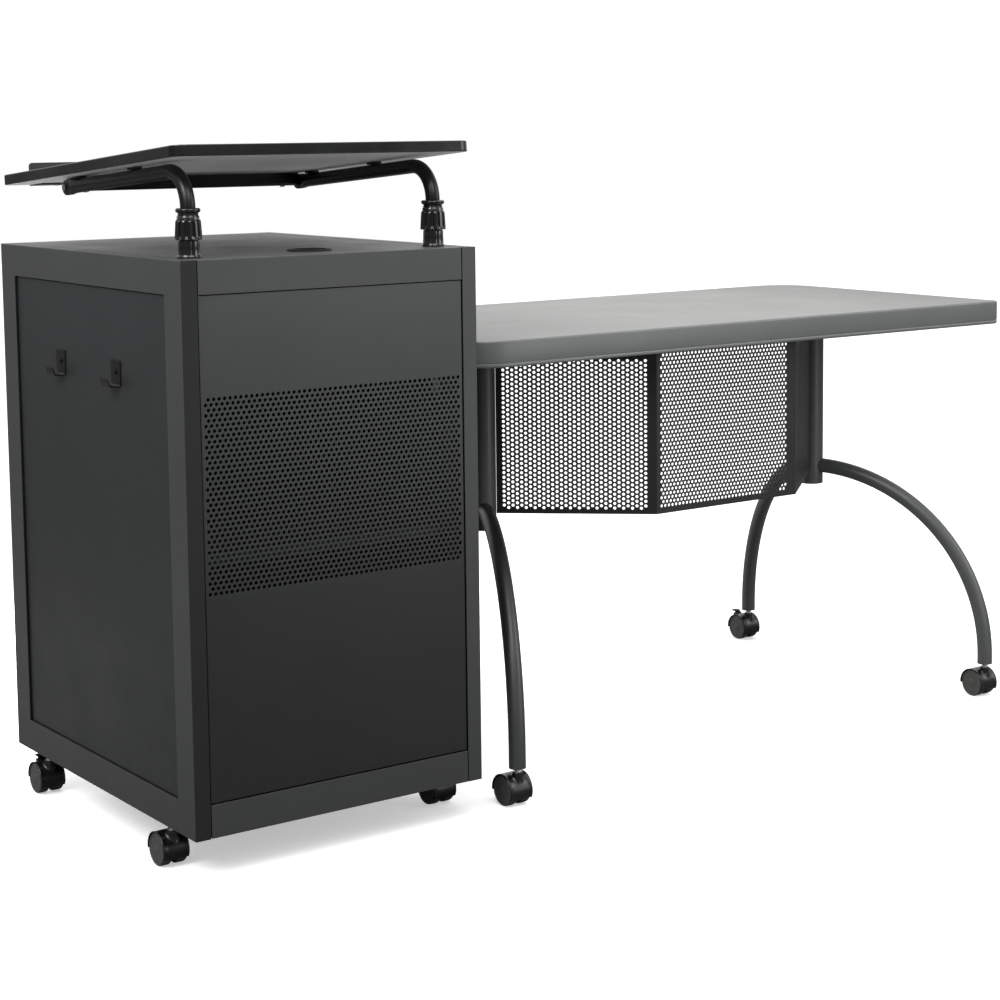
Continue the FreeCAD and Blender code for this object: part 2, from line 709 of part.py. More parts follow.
def goose_neck(end_y, end_z):
    """Bent tube: straight post, one bend and a sloping arm that stops short of the pivot."""
    body = new_body("support_tube")
    ring = circle_sketch(body, [(0, 0, size.tube_radius), (0, 0, size.tube_inner)])
    spine = new_sketch(body, "YZ_Plane")
    straight, bend = size.bend_low - size.tube_low, size.bend_radius
    tilt = math.radians(size.board_tilt.value)
    bend_end = Vector(bend.value + bend.value * math.sin(tilt),
                      straight.value + bend.value * math.cos(tilt), 0)
    arm_end_x = end_y - size.arm_short
    arm_end_y = end_z + size.arm_short * tangent(size.board_tilt)
    arm_end = Vector(arm_end_x.value,
                     bend_end.y - (arm_end_x.value - bend_end.x) * math.tan(tilt), 0)
    bend_circle = Part.Circle(Vector(bend.value, straight.value, 0), Vector(0, 0, 1), bend.value)
    spine.addGeometry(Part.LineSegment(Vector(0, 0, 0), Vector(0, straight.value, 0)), False)
    spine.addGeometry(Part.ArcOfCircle(bend_circle, math.pi / 2 - tilt, math.pi), False)
    spine.addGeometry(Part.LineSegment(bend_end, arm_end), False)
    spine.addConstraint(Sketcher.Constraint("Coincident", 0, 1, -1, 1))
    spine.addConstraint(Sketcher.Constraint("PointOnObject", 0, 2, -2))
    spine.addConstraint(Sketcher.Constraint("Tangent", 0, 2, 1, 2))
    spine.addConstraint(Sketcher.Constraint("Tangent", 1, 1, 2, 1))
    constrain(spine, straight, "DistanceY", -1, 1, 0, 2)
    constrain(spine, bend, "Radius", 1)
    constrain(spine, arm_end_x, "DistanceX", -1, 1, 2, 2)
    # starts at the drawn height; the bound expression then takes over
    constrain(spine, Driven(arm_end.y, arm_end_y.text), "DistanceY", -1, 1, 2, 2)
    sweep(body, ring, spine)
    return body


def support_tube():
    """Goose neck with a flattened eye for the pivot screw, drawn from the post's lower end."""
    end_y, end_z = pivot_y - size.post_y, pivot_z - size.tube_low
    neck = goose_neck(end_y, end_z)
    half, radius = size.tab_half, size.tab_radius
    eye = cylinder(-half, end_y, end_z, radius, 2 * half, "X")
    # wedge from inside the tube end to the thickness and height of the eye
    square = size.tube_radius * size.flat_ratio
    flat = solid("Part::Wedge", "flat", Xmin=-square, Xmax=square, Zmin=-square, Zmax=square,
                 Ymin=-size.tab_straight - size.flat_long, Ymax=-size.tab_straight,
                 X2min=-half, X2max=half, Z2min=-radius, Z2max=radius)
    place(flat, 0, end_y, end_z, SLOPE)
    # plate from the wedge down the slope to the pivot
    back = size.tab_straight + size.eye_overlap
    plate = solid("Part::Box", "eye_plate", Length=2 * half, Width=back, Height=2 * radius)
    place(plate, -half, end_y - back * tilt_cos - radius * tilt_sin,
          end_z + back * tilt_sin - radius * tilt_cos, SLOPE)
    return cut(fuse([neck, eye, flat, plate]),
               [cylinder(-half - PAST, end_y, end_z, size.pivot_hole, 2 * half + 2 * PAST, "X")])


for label, x in zip(("support_tube_left", "support_tube_right"), post_xs):
    finish(support_tube(), label, x, size.post_y, size.tube_low)

# ================================================================ reading board
half_wide = size.board_wide / 2
board_under = -size.board_thick
bar_screws = [(side * size.bar_screw_x, size.bar_y) for side in (-1, 0, 1)]
stop_screws = [(side * size.stop_screw_x, size.board_long - size.stop_screw_in)
               for side in (-1, 0, 1)]
bumper_spots = [(side * (board_mid - size.post_x), y)
                for side in (-1, 1) for y in (size.bumper_upper, size.bumper_lower)]


def reading_board():
    band = size.band_thick
    x, y0, y1 = half_wide - band, band, size.board_long - band
    body = new_body("reading_board")
    pad(body, rect_sketch(body, -x, y0, x, y1), size.board_thick, True)
    corners = [(-x, y0), (x, y0), (-x, y1), (x, y1)]
    fillet(body, size.board_round - band, lambda edge: vertical_at(edge, corners))
    pilots = with_radius(bar_screws + stop_screws + bumper_spots, size.pilot_radius)
    pocket(body, circle_sketch(body, pilots, offset=board_under), size.pilot_deep, True)
    return body


def edge_band(stem, x0, y0, x1, y1, high, band, radius, near_right, soft):
    """A band around a rounded rectangle, its outer edges softened by a soft radius.

    The corner at (x1, y0) has its own radius, near_right.
    """
    x0, y0 = driven(x0), driven(y0)
    outer = new_body(stem)
    pad(outer, rect_sketch(outer, x0, y0, x1, y1), high, True)
    fillet(outer, radius, lambda edge: vertical_at(edge, [(x0, y0), (x0, y1), (x1, y1)]))
    fillet(outer, near_right, lambda edge: vertical_at(edge, [(x1, y0)]))
    fillet(outer, soft, lambda edge: (at_level(edge, 0) or at_level(edge, -high.value))
           and on_outline(edge, x0, y0, x1, y1))
    x0, y0, x1, y1 = x0 + band, y0 + band, x1 - band, y1 - band
    core = new_body(stem + "_core")
    pad(core, rect_sketch(core, x0, y0, x1, y1, PAST), high + 2 * PAST, True)
    fillet(core, radius - band, lambda edge: vertical_at(edge, [(x0, y0), (x0, y1), (x1, y1)]))
    fillet(core, near_right - band, lambda edge: vertical_at(edge, [(x1, y0)]))
    return cut(outer, [core])


def book_stop():
    """Upright lip behind the low edge and a flange screwed under the board."""
    half, long = size.stop_half, size.board_long
    back = long + size.stop_behind + size.stop_thick
    flange_under = size.stop_gap + size.stop_thick
    body = new_body("book_stop")
    flange = rect_sketch(body, -half, long - size.stop_flange, half, back,
                         board_under - size.stop_gap)
    pad(body, flange, size.stop_thick, True)
    lip = rect_sketch(body, -half, long + size.stop_behind, half, back,
                      board_under - flange_under)
    pad(body, lip, size.board_thick + flange_under + size.stop_up)
    # the two short top edges at the lip's ends; they are as long as the sheet is thick
    longest = 1.7
    fillet(body, size.stop_round, lambda edge: edge.Length < longest
           and near(edge.BoundBox.ZMin, size.stop_up.value)
           and near(abs(edge.BoundBox.XMin), half.value))
    holes = with_radius(stop_screws, size.wide_hole)
    pocket(body, circle_sketch(body, holes, offset=board_under), FAR_PAST)
    return body


def cross_bar():
    """Channel closed at both ends, open against the board, bored for the pivot screws."""
    end, drop, wall = board_mid - size.post_x - size.tab_half - size.tab_gap, size.bar_drop, size.bar_wall
    y0, y1 = size.bar_y - size.bar_wide / 2, size.bar_y + size.bar_wide / 2
    body = new_body("cross_bar")
    pad(body, rect_sketch(body, -end, y0, end, y1, board_under - size.bar_gap), drop, True)
    hollow = rect_sketch(body, -end + size.bar_plug, y0 + wall, end - size.bar_plug, y1 - wall,
                         board_under)
    pocket(body, hollow, drop - wall)
    bottom = (board_under - size.bar_gap - drop).value
    long_edge = 100
    fillet(body, size.bar_round,
           lambda edge: at_level(edge, bottom) and edge.Length > long_edge)
    bore = [(size.bar_y, -size.pivot_down, size.pivot_shank + 0.02)]
    pocket(body, circle_sketch(body, bore, "YZ_Plane", end + PAST), 2 * end + 2 * PAST)
    holes = with_radius(bar_screws, size.wide_hole)
    pocket(body, circle_sketch(body, holes, offset=board_under - drop - PAST), 4.0, True)
    return body


def pivot_screws():
    style = dict(head_radius=5.5, head_gap=0.1, head_top=3.2, shank_radius=size.pivot_shank,
                 shank_sunk=1.0, slot_floor=1.9, slots=((0.7, 4),))
    seat = board_mid - size.post_x + size.tab_half
    shank_long = 2 * size.tab_half + size.tab_gap + size.pivot_extra
    return group([screw("X", (size.bar_y, -size.pivot_down), side * seat, shank_long, side,
                        **style) for side in (-1, 1)])


def board_bumpers():
    """Blocks under the board that rest on the arms of the support tubes."""
    high = size.pivot_down - size.board_thick - size.tube_radius - size.bumper_gap
    half_x, half_y = size.bumper_half_x, size.bumper_half_y
    return group([cut(box(x - half_x, y - half_y, board_under - high,
                          x + half_x, y + half_y, board_under),
                      [cylinder(x, y, board_under - 20, size.bumper_bore, 25)])
                  for x, y in bumper_spots])


def board_screws():
    style = dict(head_radius=4.2, head_gap=0, head_top=2.2, shank_radius=size.board_screw,
                 shank_sunk=0.5, slot_floor=1.2, slots=cross(2.4, 0.4))
    play_bar, play_stop = 0.01, 0.02    # between a screw head and the metal over it
    bar_seat = board_under - size.bar_drop - size.bar_gap - play_bar
    stop_seat = board_under - size.stop_gap - size.stop_thick - play_stop
    screws = []
    for spots, seat in ((bar_screws, bar_seat), (stop_screws, stop_seat)):
        for spot in spots:
            screws.append(screw("Z", spot, seat, size.board_screw_in - seat + board_under,
                                **style))
    # plain pins through the bumpers
    for x, y in bumper_spots:
        screws.append(cylinder(x, y, board_under - 2.6, size.board_screw, 11.6))
    return group(screws)


finish_tilted(reading_board(), "reading_board")
finish_tilted(edge_band("board_band", -half_wide, 0, half_wide, size.board_long,
                        size.board_thick, size.band_thick, size.board_round, size.board_round,
                        size.band_thick - 0.4), "board_edge_band")
finish_tilted(book_stop(), "book_stop")
finish_tilted(cross_bar(), "cross_bar")
finish_tilted(pivot_screws(), "pivot_screws")
finish_tilted(board_bumpers(), "board_bumpers")
finish_tilted(board_screws(), "board_screws")

# ================================================================ desk wing
column_xs = (size.column_left_x, size.column_right_x)
plate_z = desk_under - size.plate_thick
fold_left, fold_right = size.modesty_fold_left, size.modesty_fold_right
dock_bolt_xs = (size.dock_bolt_near, size.dock_bolt_far)


def plate_bolts(x):
    return [(x + side_x * size.plate_bolt_x, size.column_y + side_y * size.plate_bolt_y)
            for side_x in (-1, 1) for side_y in (-1, 1)]


plate_spots = [spot for x in column_xs for spot in plate_bolts(x)]
dock_spots = [(x, y + dock_mid) for y in dock_fronts for x in dock_bolt_xs]
flange_spots = [(x, size.modesty_front + size.modesty_flange / 2) for x in (
    fold_left + size.flange_bolt_near, fold_left + size.flange_bolt_far,
    fold_right - size.flange_bolt_far, fold_right - size.flange_bolt_near)]


def desk_top():
    band = size.desk_band
    x0, x1 = size.desk_left + band, size.desk_right - band
    y0, y1 = size.desk_front + band, size.desk_rear - band
    body = new_body("desk_top")
    pad(body, rect_sketch(body, x0, y0, x1, y1), size.desk_thick, True)
    fillet(body, size.desk_round - band,
           lambda edge: vertical_at(edge, [(x0, y0), (x0, y1), (x1, y1)]))
    fillet(body, size.desk_tight - band, lambda edge: vertical_at(edge, [(x1, y0)]))
    holes = with_radius(plate_spots + dock_spots + flange_spots, size.bolt_hole)
    pocket(body, circle_sketch(body, holes, offset=-size.desk_thick), size.bolt_bore_deep, True)
    return body


def mount_plate(x):
    half_x, half_y = size.plate_half_x, size.plate_half_y
    plate = box(x - half_x, size.column_y - half_y, plate_z,
                x + half_x, size.column_y + half_y, desk_under)
    return cut(plate, [cylinder(bolt_x, bolt_y, plate_z - PAST, size.bolt_hole, 8)
                       for bolt_x, bolt_y in plate_bolts(x)])


finish(desk_top(), "desk_top", 0, 0, size.desk_top_z)
finish(edge_band("desk_band", size.desk_left, size.desk_front, size.desk_right, size.desk_rear,
                 size.desk_thick, size.desk_band, size.desk_round, size.desk_tight,
                 size.desk_edge), "desk_edge_band", 0, 0, size.desk_top_z)
finish(group([mount_plate(x) for x in column_xs]), "desk_mount_plates")
for label, x in zip(("column_left", "column_right"), column_xs):
    finish(upright_tube(x, size.column_y, size.column_low, plate_z,
                        size.column_radius, size.column_inner), label)
finish(group([cylinder(x, size.column_y, size.column_low + size.cap_up,
                       size.column_inner - size.cap_play, size.cap_thick) for x in column_xs]),
       "column_caps")


def arched_leg(reach, turn):
    """Quarter-arch tube from the foot up to the column, coped to the column's wall.

    It is drawn with local X outwards, then turned by so many degrees.
    """
    low, bend_low, bend = size.leg_low, size.leg_bend_low, size.leg_bend
    body = new_body("leg")
    ring = circle_sketch(body, [(reach, 0, size.leg_radius), (reach, 0, size.leg_inner)],
                         offset=low)
    spine = new_sketch(body, "XZ_Plane")
    centre_x = reach.value - bend.value
    arc_end = math.acos((size.leg_stop.value - centre_x) / bend.value)
    bend_circle = Part.Circle(Vector(centre_x, bend_low.value, 0), Vector(0, 0, 1), bend.value)
    spine.addGeometry(Part.LineSegment(Vector(reach.value, low.value, 0),
                                       Vector(reach.value, bend_low.value, 0)), False)
    spine.addGeometry(Part.ArcOfCircle(bend_circle, 0, arc_end), False)
    pin_point(spine, 0, 1, reach, low)
    spine.addConstraint(Sketcher.Constraint("Vertical", 0))
    constrain(spine, bend_low, "DistanceY", -1, 1, 0, 2)
    spine.addConstraint(Sketcher.Constraint("Tangent", 0, 2, 1, 1))
    constrain(spine, bend, "Radius", 1)
    constrain(spine, size.leg_stop, "DistanceX", -1, 1, 1, 2)
    sweep(body, ring, spine)
    plug = cylinder(reach, 0, low, size.leg_inner + size.plug_overlap, size.plug_high)
    column_space = cylinder(0, 0, 300, size.column_radius + size.cope_play, 250)
    stem_space = cylinder(reach, 0, low - PAST, size.stem_hole, 30)
    leg = cut(fuse([body, plug]), [column_space, stem_space])
    return place(leg, 0, 0, 0, Rotation(Vector(0, 0, 1), turn))


front_turn, rear_turn = size.front_angle.value, size.rear_angle.value
for label, x, turns in (
        ("arched_legs_left", size.column_left_x, (-180 + front_turn, 180 - rear_turn)),
        ("arched_legs_right", size.column_right_x, (-front_turn, rear_turn))):
    finish(group([arched_leg(size.front_reach, turns[0]), arched_leg(size.rear_reach, turns[1])]),
           label, x, size.column_y, 0)


def modesty_outline(sketch, deep, tail):
    """The folded sheet seen from above: its depth, and how far its ends are cut short."""
    angle, front = size.modesty_angle, size.modesty_front
    side_x, side_y = size.modesty_side * cosine(angle), size.modesty_side * sine(angle)
    turn = tangent(angle / 2) * deep
    deep_x, deep_y = sine(angle) * deep, cosine(angle) * deep
    tail_x, tail_y = tail * cosine(angle), tail * sine(angle)
    right, left = fold_right + side_x - tail_x, fold_left - side_x + tail_x
    rear = front + side_y - tail_y
    polygon(sketch, [
        (fold_left, front), (fold_right, front), (right, rear), (right - deep_x, rear + deep_y),
        (fold_right - turn, front + deep), (fold_left + turn, front + deep),
        (left + deep_x, rear + deep_y), (left, rear)])
    return sketch


def modesty_panel():
    """Three folded sections and a top flange, notched around the mount plates."""
    high, sheet = desk_under - size.modesty_low, size.modesty_thick
    body = new_body("modesty_panel")
    pad(body, modesty_outline(new_sketch(body), sheet, 0), high)
    flange = new_sketch(body, offset=high - sheet)
    pad(body, modesty_outline(flange, size.modesty_flange, size.flange_tail), sheet)
    holes = with_radius(flange_spots, size.bolt_hole)
    pocket(body, circle_sketch(body, holes, offset=high + PAST), 4.0)
    notches = new_sketch(body, offset=high + PAST)
    half_x, side = size.plate_half_x, size.notch_side
    for x in column_xs:
        rect(notches, x - half_x - side, size.column_y - size.plate_half_y - side,
             x + half_x + side, size.column_y + size.plate_half_y)
    pocket(body, notches, size.plate_thick + size.notch_under)
    return body


finish(modesty_panel(), "modesty_panel", 0, 0, size.modesty_low)

panel_right = size.cab_width - size.panel_recess    # outer face of the right side panel


def dock_bracket(front):
    """Angle under the desk, bolted to the cabinet's right side panel."""
    rear, middle = front + size.dock_wide, front + dock_mid
    angle = fuse([
        box(panel_right, front, desk_under - size.dock_down,
            panel_right + size.dock_thick, rear, desk_under),
        box(panel_right, front, desk_under - size.dock_thick,
            panel_right + size.dock_out, rear, desk_under)])
    holes = [cylinder(x, middle, desk_under - 10, size.bolt_hole, 20) for x in dock_bolt_xs]
    holes += [cylinder(panel_right - FAR_PAST, middle, z, size.bolt_hole, 15, "X")
              for z in dock_levels]
    return cut(angle, holes)


def desk_screws():
    style = dict(head_radius=size.bolt_head, head_gap=0.02, head_top=2.6,
                 shank_radius=size.bolt_shank, shank_sunk=0.6, slot_floor=1.3,
                 slots=cross(2.6, 0.5))
    bolts = [screw("Z", spot, seat, size.bolt_long, **style)
             for spots, seat in ((plate_spots, plate_z),
                                 (dock_spots, desk_under - size.dock_thick),
                                 (flange_spots, desk_under - size.modesty_thick))
             for spot in spots]
    bolts += [screw("X", (y + dock_mid, z), panel_right + size.dock_thick, size.bolt_long, 1,
                    **style) for y in dock_fronts for z in dock_levels]
    return group(bolts)


finish(group([dock_bracket(y) for y in dock_fronts]), "dock_brackets")
finish(desk_screws(), "desk_screws")

# ================================================================ casters
front_x = size.front_reach * cosine(size.front_angle)
front_y = size.column_y - size.front_reach * sine(size.front_angle)
rear_x = size.rear_reach * cosine(size.rear_angle)
rear_y = size.column_y + size.rear_reach * sine(size.rear_angle)
cab_right_x = size.cab_width - size.caster_x
cab_rear_y = size.cab_depth - size.caster_y
# name, x and y of the stem, with a brake
CASTERS = [
    ("cab_fl", size.caster_x, size.caster_y, False),
    ("cab_fr", cab_right_x, size.caster_y, False),
    ("cab_rl", size.caster_x, cab_rear_y, True),
    ("cab_rr", cab_right_x, cab_rear_y, True),
    ("desk_fl", size.column_left_x - front_x, front_y, False),
    ("desk_fr", size.column_right_x + front_x, front_y, False),
    ("desk_rl", size.column_left_x - rear_x, rear_y, True),
    ("desk_rr", size.column_right_x + rear_x, rear_y, True),
]
lever_cos, lever_sin = cosine(size.lever_angle), sine(size.lever_angle)
lever_y = size.trail + size.lever_ride * lever_cos
lever_z = size.wheel_radius + size.lever_ride * lever_sin


def lever_mount():
    """Two ears on the hood and the pin of the brake lever between them."""
    arm, ear_thick, foot_half = size.lever_half, size.ear_thick, size.ear_foot_wide / 2
    ride = size.hood_inner + size.ear_foot_up
    solids = []
    for x in (arm + size.ear_gap, -arm - size.ear_gap - ear_thick):
        ear = cylinder(x, lever_y, lever_z, size.ear_radius, ear_thick, "X")
        foot = solid("Part::Box", "ear_foot", Length=ear_thick, Width=size.ear_foot_wide,
                     Height=size.ear_foot_high)
        place(foot, x, size.trail + ride * lever_cos - foot_half * lever_sin,
              size.wheel_radius + ride * lever_sin + foot_half * lever_cos,
              Rotation(Vector(1, 0, 0), size.lever_angle.value - 90))
        solids += [ear, foot]
    pin_out = arm + size.lever_pin_out
    return solids + [cylinder(-pin_out, lever_y, lever_z, size.lever_pin, 2 * pin_out, "X")]


def housing(braked):
    """Hood over both wheels, web between them and a boss for the stem."""
    half, y, z = size.hood_half, size.trail, size.wheel_radius
    reach, deep = 40, -10       # cutters past the hood and below the floor
    shell = cut(cylinder(-half, y, z, size.hood_outer, 2 * half, "X"), [
        cylinder(-half - PAST, y, z, size.hood_inner, 2 * half + 2 * PAST, "X"),
        box(-half - PAST, y, deep, half + PAST, y + reach, z - size.hood_rear_open),
        box(-half - PAST, y - reach, deep, half + PAST, y, z - size.hood_front_open)])
    web = cut(cylinder(-size.web_half, y, z, size.hood_inner + size.web_overlap,
                       2 * size.web_half, "X"),
              [box(-10, y - reach, deep, driven(10), y + reach, size.web_low),
               cylinder(-10, y, z, size.axle_bore, 20, "X")])
    boss = cut(cylinder(0, 0, size.boss_low, size.boss_radius, size.boss_top - size.boss_low),
               [cylinder(-20, y, z, size.hood_inner, 40, "X")])
    solids = [shell, web, boss] + (lever_mount() if braked else [])
    return cut(fuse(solids), [cylinder(0, 0, size.stem_bore_low, size.stem_bore, 40)])


def brake_lever():
    """Rocker: barrel on the pin, a short neck and a flat thumb tab pointing to the rear."""
    arm, neck_y = size.lever_half, lever_y - size.neck_half
    barrel = cylinder(-arm, lever_y, lever_z, size.lever_barrel, 2 * arm, "X")
    neck = box(-arm, neck_y, lever_z, arm, lever_y + size.neck_half, lever_z + size.neck_high)
    tab = box(-arm, neck_y, lever_z + size.thumb_low,
              arm, lever_y + size.thumb_long, lever_z + size.thumb_high)
    return cut(fuse([barrel, neck, tab]), [cylinder(-arm - PAST, lever_y, lever_z,
                                                    size.lever_bore, 2 * arm + 2 * PAST, "X")])


def wheelset():
    """Two wheels on one axle, turned about the axle line."""
    body = new_body("wheelset")
    outer, inner, radius = size.wheel_out, size.wheel_in, size.wheel_radius
    # right half of the outline: distance along the axle, radius
    right = [(inner, size.axle_radius), (inner, radius - 2.2), (inner + 2.2, radius),
             (outer - 3.4, radius), (outer - 1.3, radius - 1.1), (outer - 0.5, radius - 2.8),
             (outer - 0.5, radius - 3.6), (outer - 1.1, radius - 4.2), (outer - 1.1, 6.6),
             (outer - 0.2, 5.6), (outer, 4.6), (outer, 0)]
    left = [(-x, y) for x, y in reversed(right)]
    revolve(body, left + right, "H_Axis")
    return body


def caster_stem(x, y):
    """Pin in the housing, collar on the boss and stem in the nut or leg above."""
    return fuse([
        cylinder(x, y, size.stem_low, size.stem_pin, size.stem_long),
        cylinder(x, y, size.boss_top + size.collar_gap, size.collar_radius, size.collar_thick),
        cylinder(x, y, size.boss_top + size.stem_up, size.stem_radius, size.stem_long)])


finish(group([caster_stem(x, y) for name, x, y, braked in CASTERS]), "caster_stems")
for name, x, y, braked in CASTERS:
    finish(housing(braked), "caster_housing_" + name, x, y, 0)
    finish(wheelset(), "caster_wheels_" + name, x, y + size.trail, size.wheel_radius)
    if braked:
        finish(brake_lever(), "brake_lever_" + name, x, y, 0)

# ================================================================ checks and export
doc.recompute()
failed = [obj.Name + ":" + obj.Label for obj in doc.Objects
          if "Invalid" in obj.State or "Error" in obj.State]
if failed:
    raise RuntimeError("failed objects: " + ", ".join(failed))
os.makedirs("parts", exist_ok=True)
for part in PARTS:
    shape = part.Shape
    if shape.isNull() or not shape.isValid() or not shape.Solids:
        raise RuntimeError("bad shape: " + part.Label)
    shape.exportStep(os.path.join("parts", part.Label + ".step"))
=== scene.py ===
# A wheeled cabinet with a desk top, perforated front and modesty panels, coat hooks, casters
# and a board carried on two goose-neck tubes. The front faces -Y, left is -X and Z is up.
# Shapes are worked out in layout millimetres, measured from the floor corner at the cabinet's
# front left, and placed in the row frame in metres.
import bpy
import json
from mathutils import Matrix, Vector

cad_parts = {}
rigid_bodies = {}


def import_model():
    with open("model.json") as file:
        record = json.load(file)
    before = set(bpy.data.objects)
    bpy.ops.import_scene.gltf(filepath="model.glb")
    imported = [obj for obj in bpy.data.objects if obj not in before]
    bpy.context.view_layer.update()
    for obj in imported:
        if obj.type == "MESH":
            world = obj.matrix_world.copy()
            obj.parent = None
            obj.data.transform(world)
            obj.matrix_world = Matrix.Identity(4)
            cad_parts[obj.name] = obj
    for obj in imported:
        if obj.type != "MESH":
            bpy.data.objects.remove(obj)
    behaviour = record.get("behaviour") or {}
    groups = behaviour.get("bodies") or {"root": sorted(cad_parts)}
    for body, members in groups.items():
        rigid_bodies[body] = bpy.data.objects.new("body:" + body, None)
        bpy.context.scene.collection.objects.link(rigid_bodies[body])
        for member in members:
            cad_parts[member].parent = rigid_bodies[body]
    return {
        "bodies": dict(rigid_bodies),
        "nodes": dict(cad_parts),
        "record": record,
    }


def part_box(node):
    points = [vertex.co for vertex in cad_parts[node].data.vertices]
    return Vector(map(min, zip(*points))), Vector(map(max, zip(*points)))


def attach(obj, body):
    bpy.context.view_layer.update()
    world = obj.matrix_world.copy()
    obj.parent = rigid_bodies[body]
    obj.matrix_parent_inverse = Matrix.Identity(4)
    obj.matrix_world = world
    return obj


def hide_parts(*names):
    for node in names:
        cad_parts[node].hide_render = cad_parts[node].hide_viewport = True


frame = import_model()
import bpy
import bmesh
import json
import math
from collections import namedtuple
from mathutils import Vector, Matrix

nodes = frame["nodes"]
scene = bpy.context.scene

# ------------------------------------------------------------------ clean start
for stray in list(bpy.data.objects):
    if stray.name not in nodes and not any(stray is b for b in frame["bodies"].values()):
        bpy.data.objects.remove(stray, do_unlink=True)
bpy.context.view_layer.update()

# ------------------------------------------------------------------ layout frame
corner_x, corner_y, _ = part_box("side_frame_left")[0]


def to_frame(x, y, z):
    """Layout millimetres to row-frame metres."""
    return Vector((corner_x + x / 1000.0, corner_y + y / 1000.0, z / 1000.0))


def to_layout(x, y, z):
    """Row-frame metres to layout millimetres."""
    return (x - corner_x) * 1000, (y - corner_y) * 1000, z * 1000


def layout_box(part):
    """Low and high corners of a part, in layout millimetres."""
    low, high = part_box(part)
    return to_layout(*low), to_layout(*high)


def layout_centre(part):
    low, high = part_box(part)
    return to_layout(*((a + b) / 2 for a, b in zip(low, high)))


# ------------------------------------------------------------------ shader trees
BLACK = (0.0, 0.0, 0.0)
DUST_COLOR = (0.30, 0.29, 0.275)


class Tree:
    """Short calls that fill one node tree, cleared at the start."""

    def __init__(self, owner, output):
        owner.use_nodes = True
        self.nodes, self.links = owner.node_tree.nodes, owner.node_tree.links
        self.nodes.clear()
        self.output = self.add(output)

    def feed(self, node, inputs):
        """Link sockets and set plain values; None leaves an input alone."""
        for key, value in inputs.items():
            if isinstance(value, bpy.types.NodeSocket):
                self.links.new(value, node.inputs[key])
            elif value is not None:
                node.inputs[key].default_value = value

    def add(self, kind, inputs=None, **settings):
        node = self.nodes.new("ShaderNode" + kind)
        for key, value in settings.items():
            setattr(node, key, value)
        self.feed(node, inputs or {})
        return node

    def noise(self, vector, scale, detail=2.0, rough=0.5):
        return self.add("TexNoise", {"Vector": vector, "Scale": scale, "Detail": detail,
                                     "Roughness": rough}).outputs["Fac"]

    def remap(self, value, span, to=(0.0, 1.0)):
        """Clamped map of one span of values to another."""
        return self.add("MapRange", {"Value": value, "From Min": span[0], "From Max": span[1],
                                     "To Min": to[0], "To Max": to[1]},
                        clamp=True).outputs["Result"]

    def mix(self, factor, first, second):
        """Blend of two colours, each a socket or an RGB tuple."""
        first, second = ((*c, 1.0) if isinstance(c, tuple) else c for c in (first, second))
        # inputs 6 and 7 and output 2 are the Mix node's colour sockets
        return self.add("Mix", {0: factor, 6: first, 7: second}, data_type="RGBA").outputs[2]

    def math(self, operation, first, second, clamp=False):
        return self.add("Math", {0: first, 1: second}, operation=operation,
                        use_clamp=clamp).outputs[0]

    def dot(self, first, second):
        return self.add("VectorMath", {0: first, 1: second},
                        operation="DOT_PRODUCT").outputs["Value"]

    def geometry(self, output):
        return self.add("NewGeometry").outputs[output]

    def axis(self, vector, letter):
        return self.add("SeparateXYZ", {0: vector}).outputs[letter]

    def bevel(self, radius):
        """Normal rounded over edges within the radius."""
        return self.add("Bevel", {"Radius": radius}, samples=4).outputs["Normal"]


def principled(name):
    """A new material with its tree and its surface node."""
    material = bpy.data.materials.new(name)
    tree = Tree(material, "OutputMaterial")
    surface = tree.add("BsdfPrincipled")
    tree.feed(tree.output, {"Surface": surface.outputs["BSDF"]})
    return material, tree, surface


def scaled(color, factor, lift=0.0):
    return tuple(min(1.0, c * factor + lift) for c in color)


# ------------------------------------------------------------------ layers of a finish
def add_specks(tree, coords, tone, color, amount):
    """Fine dark specks and coarser pale ones."""
    scale = 1300.0
    dark = tree.noise(coords, scale=scale, detail=4.0, rough=0.7)
    tone = tree.mix(tree.remap(dark, (0.56, 0.72), to=(0.0, amount)), tone, scaled(color, 0.55))
    pale = tree.noise(coords, scale=scale * 0.47, detail=3.0, rough=0.6)
    pale = tree.remap(pale, (0.56, 0.70), to=(0.0, amount * 0.8))
    return tree.mix(pale, tone, scaled(color, 1.35))


def add_streaks(tree, coords, tone, color, scale, amount):
    """Dark streaks, drawn out by an uneven scale."""
    stretched = tree.add("Mapping", {"Vector": coords, "Scale": scale}).outputs["Vector"]
    streak = tree.noise(stretched, scale=1.0, detail=5.0, rough=0.6)
    return tree.mix(tree.remap(streak, (0.35, 0.65), to=(0.0, amount)), tone,
                    scaled(color, 0.7))


def add_painted_height_shade(tree, tone, dark_z, clear_z, gain):
    """Painted shade by height: darken down to the gain at dark_z, not at all at clear_z."""
    height = tree.axis(tree.geometry("Position"), "Z")
    painted_height_shade = tree.remap(height, (dark_z, clear_z), to=(1.0, 0.0))
    return tree.mix(tree.math("MULTIPLY", painted_height_shade, 1.0 - gain), tone, BLACK)


def add_painted_sweep_shade(tree, tone, clear_x, dark_x, gain):
    """Painted shade along X: darken down to the gain at dark_x."""
    across = tree.axis(tree.geometry("Position"), "X")
    return tree.mix(tree.remap(across, (clear_x, dark_x), to=(0.0, 1.0 - gain)), tone, BLACK)


def add_face_tone_and_painted_shade(tree, tone, direction, gain, span=(0.6, 0.9)):
    """Darken faces turned to a direction; the span is of the cosine between them. Used as painted
    shade on the left frame's front faces and as the board's own darker upper face.
    """
    facing = tree.dot(tree.geometry("Normal"), direction)
    return tree.mix(tree.remap(facing, span, to=(0.0, 1.0 - gain)), tone, BLACK)


